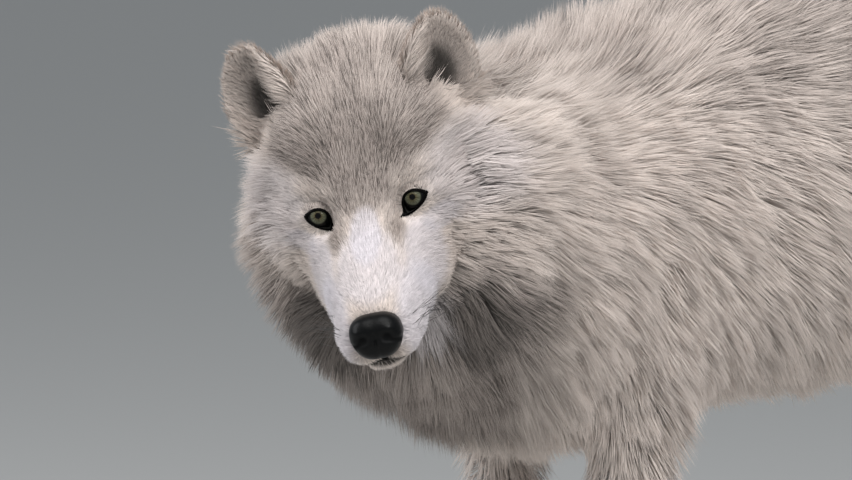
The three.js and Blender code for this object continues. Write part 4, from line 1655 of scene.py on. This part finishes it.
def coat_lie(region, roots, normals, gap):
    """The way, length and depth over the skin of the hair at its roots."""
    weights = lie_weights(roots)
    way, length, depth = weights @ lie_ways, weights @ lie_lengths, weights @ lie_depths
    fullness, cap = FULLNESS.get(region, USUAL_FULLNESS), GAP_CAP.get(region, USUAL_CAP)
    depth = np.minimum(gap * fullness, depth * cap)
    length = np.maximum(length, depth / STEEPEST)
    local = on_head(roots)
    if region == "ear":
        ear_lie(local, normals, way, length, depth)
    about_eyes(local, way, length, depth)
    if region == "muzzle":
        lip = ease(1 - from_mouth(local) / 7)
        length *= 1 - 0.55 * lip
        depth *= 1 - 0.5 * lip
    if region != "ear":
        about_ears(local, length, depth)
    return unit(way - normals * (way * normals).sum(1, keepdims=True)), length, depth


def gathered_hairs(region, roots, normals, gap):
    """Points along hairs gathered into locks, a number for each and its lock, and if they are long."""
    _, _, steps, lock_size, pull = HAIR[region]
    count = len(roots)
    way, length, depth = coat_lie(region, roots, normals, gap)
    aside = np.cross(normals, way)
    bend = 0.2 * sway(roots, 0.11, 0.4) + 0.12 * sway(roots, 0.045, 2.1)
    way = unit(way + aside * bend[:, None])
    lift = np.arcsin((depth / length).clip(0, STEEPEST))
    lift *= 1 + 0.2 * sway(roots, 0.07, 4.2)
    is_long = length.mean() > LONG_HAIR
    droop = 0.12 if is_long else 0.0

    locks = rng.choice(count, max(1, count // lock_size), replace=False)
    own = nearest_of(roots, roots[locks])
    lock_way = unit(way[locks] + aside[locks] * rng.normal(0, 0.2, len(locks))[:, None])
    most_lift = 1.6 if region == "crown" else 1.25
    lock_lift = lift[locks] * rng.uniform(0.65, most_lift, len(locks))
    lock_length = length[locks] * rng.uniform(0.8, 1.1, len(locks))
    lock_paths = hair_paths(
        roots[locks], normals[locks], lock_way, lock_length, lock_lift, steps, droop
    )
    lock_random = rng.random(len(locks))

    single = rng.random(count)
    hair_way = unit(way + aside * rng.normal(0, 0.12, count)[:, None])
    hair_lift = lift * rng.uniform(0.7, 1.25, count)
    hair_length = length * rng.uniform(0.72, 1.05, count)
    paths = hair_paths(roots, normals, hair_way, hair_length, hair_lift, steps, droop)
    loose = rng.uniform(0.35, 1.0, count)
    share = np.linspace(0, 1, steps + 1)
    paths += (lock_paths[own] - paths) * (pull * loose)[:, None, None] * (share[None, :, None] ** 1.2)
    return paths, single, lock_random[own], is_long


def held_in(paths, roots, most):
    """Draws in the hairs whose tips pass the solids' outline by more than a given length."""
    tips = paths[:, -1]
    nearest = [outline.find_nearest(tip)[:2] for tip in tips]
    spots = np.array([spot for spot, _ in nearest])
    outward = np.array([way for _, way in nearest])
    over = ((tips - spots) * outward).sum(1)
    reach = np.linalg.norm(tips - roots, axis=1)
    kept = 1 - ((over - most) / reach).clip(0, 0.6)
    return roots[:, None] + (paths - roots[:, None]) * kept[:, None, None]


def stepped(left, right, tips):
    """The values at a hair's left and right edge at each step, then at its tip, in that order."""
    count, steps = left.shape[0], left.shape[1] - 1
    values = np.empty((count, 2 * steps + 1, 3))
    values[:, 0:-1:2], values[:, 1:-1:2], values[:, -1] = left[:, :-1], right[:, :-1], tips
    return values


def blades(paths, normals, broad, width):
    """Each hair as a thin tapered blade: the places of its vertices, and their normals."""
    count, share = len(paths), np.linspace(0, 1, paths.shape[1])
    heading = np.gradient(paths, axis=1)
    heading /= np.linalg.norm(heading, axis=2, keepdims=True).clip(1e-9)
    outward = normals[:, None] - heading * (heading * normals[:, None]).sum(2, keepdims=True)
    outward /= np.linalg.norm(outward, axis=2, keepdims=True).clip(1e-9)
    sideways = np.cross(heading, outward)
    twist = rng.uniform(-0.75, 0.75, count)[:, None, None]
    edge_way = sideways * np.cos(twist) + outward * np.sin(twist)
    half = np.interp(share, (0, 0.35, 1), (0.36, 0.5, 0.05)) * width * 0.001
    half = half[None, :, None] * rng.uniform(0.75, 1.25, count)[:, None, None]
    soft = 0.7 * broad[:, None] + 0.3 * outward
    rounding = sideways * 0.35
    places = stepped(paths - edge_way * half, paths + edge_way * half, paths[:, -1])
    facings = stepped(soft - rounding, soft + rounding, soft[:, -1])
    return places, facings


def blade_mesh(name, places):
    """A mesh of blades, and the vertices at the corners of its triangles."""
    count, width_count = places.shape[:2]
    steps = width_count // 2
    pattern = []
    for step in range(steps - 1):
        low, high = 2 * step, 2 * step + 2
        pattern += [(low, low + 1, high + 1), (low, high + 1, high)]
    pattern.append((2 * steps - 2, 2 * steps - 1, 2 * steps))
    index = (np.arange(count) * width_count)[:, None, None] + np.array(pattern)[None]

    mesh = bpy.data.meshes.new(name)
    mesh.vertices.add(count * width_count)
    mesh.vertices.foreach_set("co", places.astype(np.float32).ravel())
    mesh.loops.add(index.size)
    mesh.loops.foreach_set("vertex_index", index.astype(np.int32).ravel())
    mesh.polygons.add(index.size // 3)
    mesh.polygons.foreach_set("loop_start", np.arange(0, index.size, 3, dtype=np.int32))
    mesh.update(calc_edges=True)
    mesh.shade_smooth()
    return mesh, index.ravel()


CLEAR_OF_FLOOR = 0.0005  # no hair comes nearer to the floor than this
PATCH = 0.003  # width of a hair's patch on the map that colours are baked to


def grow(region, faces):
    """The hairs of one region as a mesh, rooted on the given triangles of the skin."""
    density, width, steps, _, _ = HAIR[region]
    picks, shares = scattered(faces, density)
    chosen = triangles[faces[picks]]
    roots = (skin_points[chosen] * shares[..., None]).sum(1)
    normals = unit((skin_normals[chosen] * shares[..., None]).sum(1))
    gap = (skin_gap[chosen] * shares).sum(1)
    paths, single, lock_random, is_long = gathered_hairs(region, roots, normals, gap)
    if region in STRAY:
        paths = held_in(paths, roots, STRAY[region])
    paths[..., 2] = np.maximum(paths[..., 2], CLEAR_OF_FLOOR)
    broad = unit((broad_normals[chosen] * shares[..., None]).sum(1)) if is_long else normals
    places, facings = blades(paths, normals, broad, width)
    mesh, corner_index = blade_mesh(f"coat_{region}", places)

    count, width_count = places.shape[:2]
    marks_and_painted_shade = np.repeat(marks_and_painted_shade_at(roots, normals), width_count, 0)
    write_attribute(mesh, "marks_and_painted_shade", "FLOAT_COLOR", marks_and_painted_shade)
    along = np.repeat(np.linspace(0, 1, steps + 1), 2)[:-1]
    strand = np.empty((count, width_count, 3))
    strand[..., 0], strand[..., 1], strand[..., 2] = along, single[:, None], lock_random[:, None]
    write_attribute(mesh, "strand", "FLOAT_VECTOR", strand)

    root_uv = (unwrapped(faces)[picks] * shares[..., None]).sum(1)
    spot = np.stack([np.tile([-1.0, 1.0], steps + 1)[:width_count], along * 2 - 1], 1)
    spot[-1, 0] = 0
    vertex_uv = (root_uv[:, None] + spot[None] * (PATCH / 2)).reshape(-1, 2)
    layer = mesh.uv_layers.new(name="OFBake")
    layer.uv.foreach_set("vector", vertex_uv[corner_index].astype(np.float32).ravel())
    mesh.normals_split_custom_set_from_vertices(unit(facings.reshape(-1, 3)))
    return mesh


def unwrapped(faces):
    """An unwrap of a part of the skin: the map places of the corners of the given triangles."""
    used, corner = np.unique(triangles[faces], return_inverse=True)
    mesh = bpy.data.meshes.new("unwrap")
    mesh.from_pydata(skin_points[used].tolist(), [], corner.reshape(-1, 3).tolist())
    holder = new_piece("unwrap", mesh)
    bpy.context.view_layer.objects.active = holder
    holder.select_set(True)
    bpy.ops.object.mode_set(mode="EDIT")
    bpy.ops.mesh.select_all(action="SELECT")
    bpy.ops.uv.smart_project(angle_limit=math.radians(66), island_margin=0.004)
    bpy.ops.object.mode_set(mode="OBJECT")
    places = np.empty(len(mesh.loops) * 2, np.float32)
    mesh.uv_layers.active.uv.foreach_get("vector", places)
    bpy.data.objects.remove(holder)
    bpy.data.meshes.remove(mesh)
    return places.reshape(-1, 3, 2)


# Roots darker by 0.56: partly darker underfur, partly painted shade deep in the coat.
coat_finish = coat_material("guard hair", 0.62, 0.56, 0.23)
for region in HAIR:
    index = EAR if region == "ear" else REGIONS.index(region)
    faces = np.nonzero((regions == index) & covered)[0]
    piece = new_piece(f"coat_{region}", grow(region, faces))
    piece.data.materials.append(coat_finish)
    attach(piece, "root")

# ---- whiskers ----
# Stiff tapering hairs on the upper lips and the chin, with short dark ones between them, each set in
# the skin and bending back. They are solid round hairs in one piece.
WHISKERS = [  # middle of a patch on the left side, way they point, length, number
    ((25, -92, -48), (0.75, 0.3, 0.5), 30, 5),
    ((29, -80, -54), (0.85, 0.45, 0.2), 42, 6),
    ((31, -66, -60), (0.85, 0.5, -0.1), 46, 5),
    ((12, -90, -78), (0.3, 0.2, -0.9), 15, 4),
]
WHISKER_HALF = 0.2  # half its thickness, in mm
SHORT_HAIRS = 46  # to a side, between the whiskers
SHORT_HALF = 0.17


def add_whisker(shape, root, way, length, thick, bend):
    """A tapering round hair from a place on the skin, on the head's axes in mm."""
    made = bmesh.ops.create_grid(shape, x_segments=5, y_segments=6, size=1)["verts"]
    turn = Vector(way).to_track_quat("Z", "Y")
    for vertex in made:
        along, around = (vertex.co.y + 1) / 2, (vertex.co.x + 1) * math.pi
        wide = thick * (1 - 0.92 * along)
        place = turn @ Vector((wide * math.cos(around), wide * math.sin(around), along * length))
        vertex.co = HEAD_MATRIX @ (Vector(root) + place + Vector(bend) * (along * along))


shape = bmesh.new()
for side in (1, -1):
    for middle, way, length, number in WHISKERS:
        for _ in range(number):
            spot = np.array(middle) * [side, 1, 1] + rng.normal(0, 1, 3) * [1, 8, 5]
            found, normal, _, _ = skin_tree.find_nearest(spot)
            heading = np.array(way) * [side, 1, 1] + rng.normal(0, 0.16, 3) + np.array(normal) * 0.3
            reach = length * rng.uniform(0.55, 1.1)
            bend = (0, 0.16 * reach, -0.05 * reach)
            add_whisker(shape, found - normal * 0.5, heading, reach, WHISKER_HALF, bend)
    for _ in range(SHORT_HAIRS):
        spot = np.array([30 * side, -78, -56]) + rng.normal(0, 1, 3) * [1, 15, 7]
        found, normal, _, _ = skin_tree.find_nearest(spot)
        heading = np.array([0.5 * side, 0.85, -0.1]) + rng.normal(0, 0.2, 3) + np.array(normal) * 0.45
        reach = rng.uniform(6, 11)
        add_whisker(shape, found - normal * 0.5, heading, reach, SHORT_HALF, (0, 1, -0.5))
whisker_black = plain_material("whisker", (0.02, 0.017, 0.015), 0.5)
whiskers = smooth_piece(shape, "whiskers", whisker_black)
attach(whiskers, "root")

# ---- size ----
# The box of the finished animal, coat and all.
low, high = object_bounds()
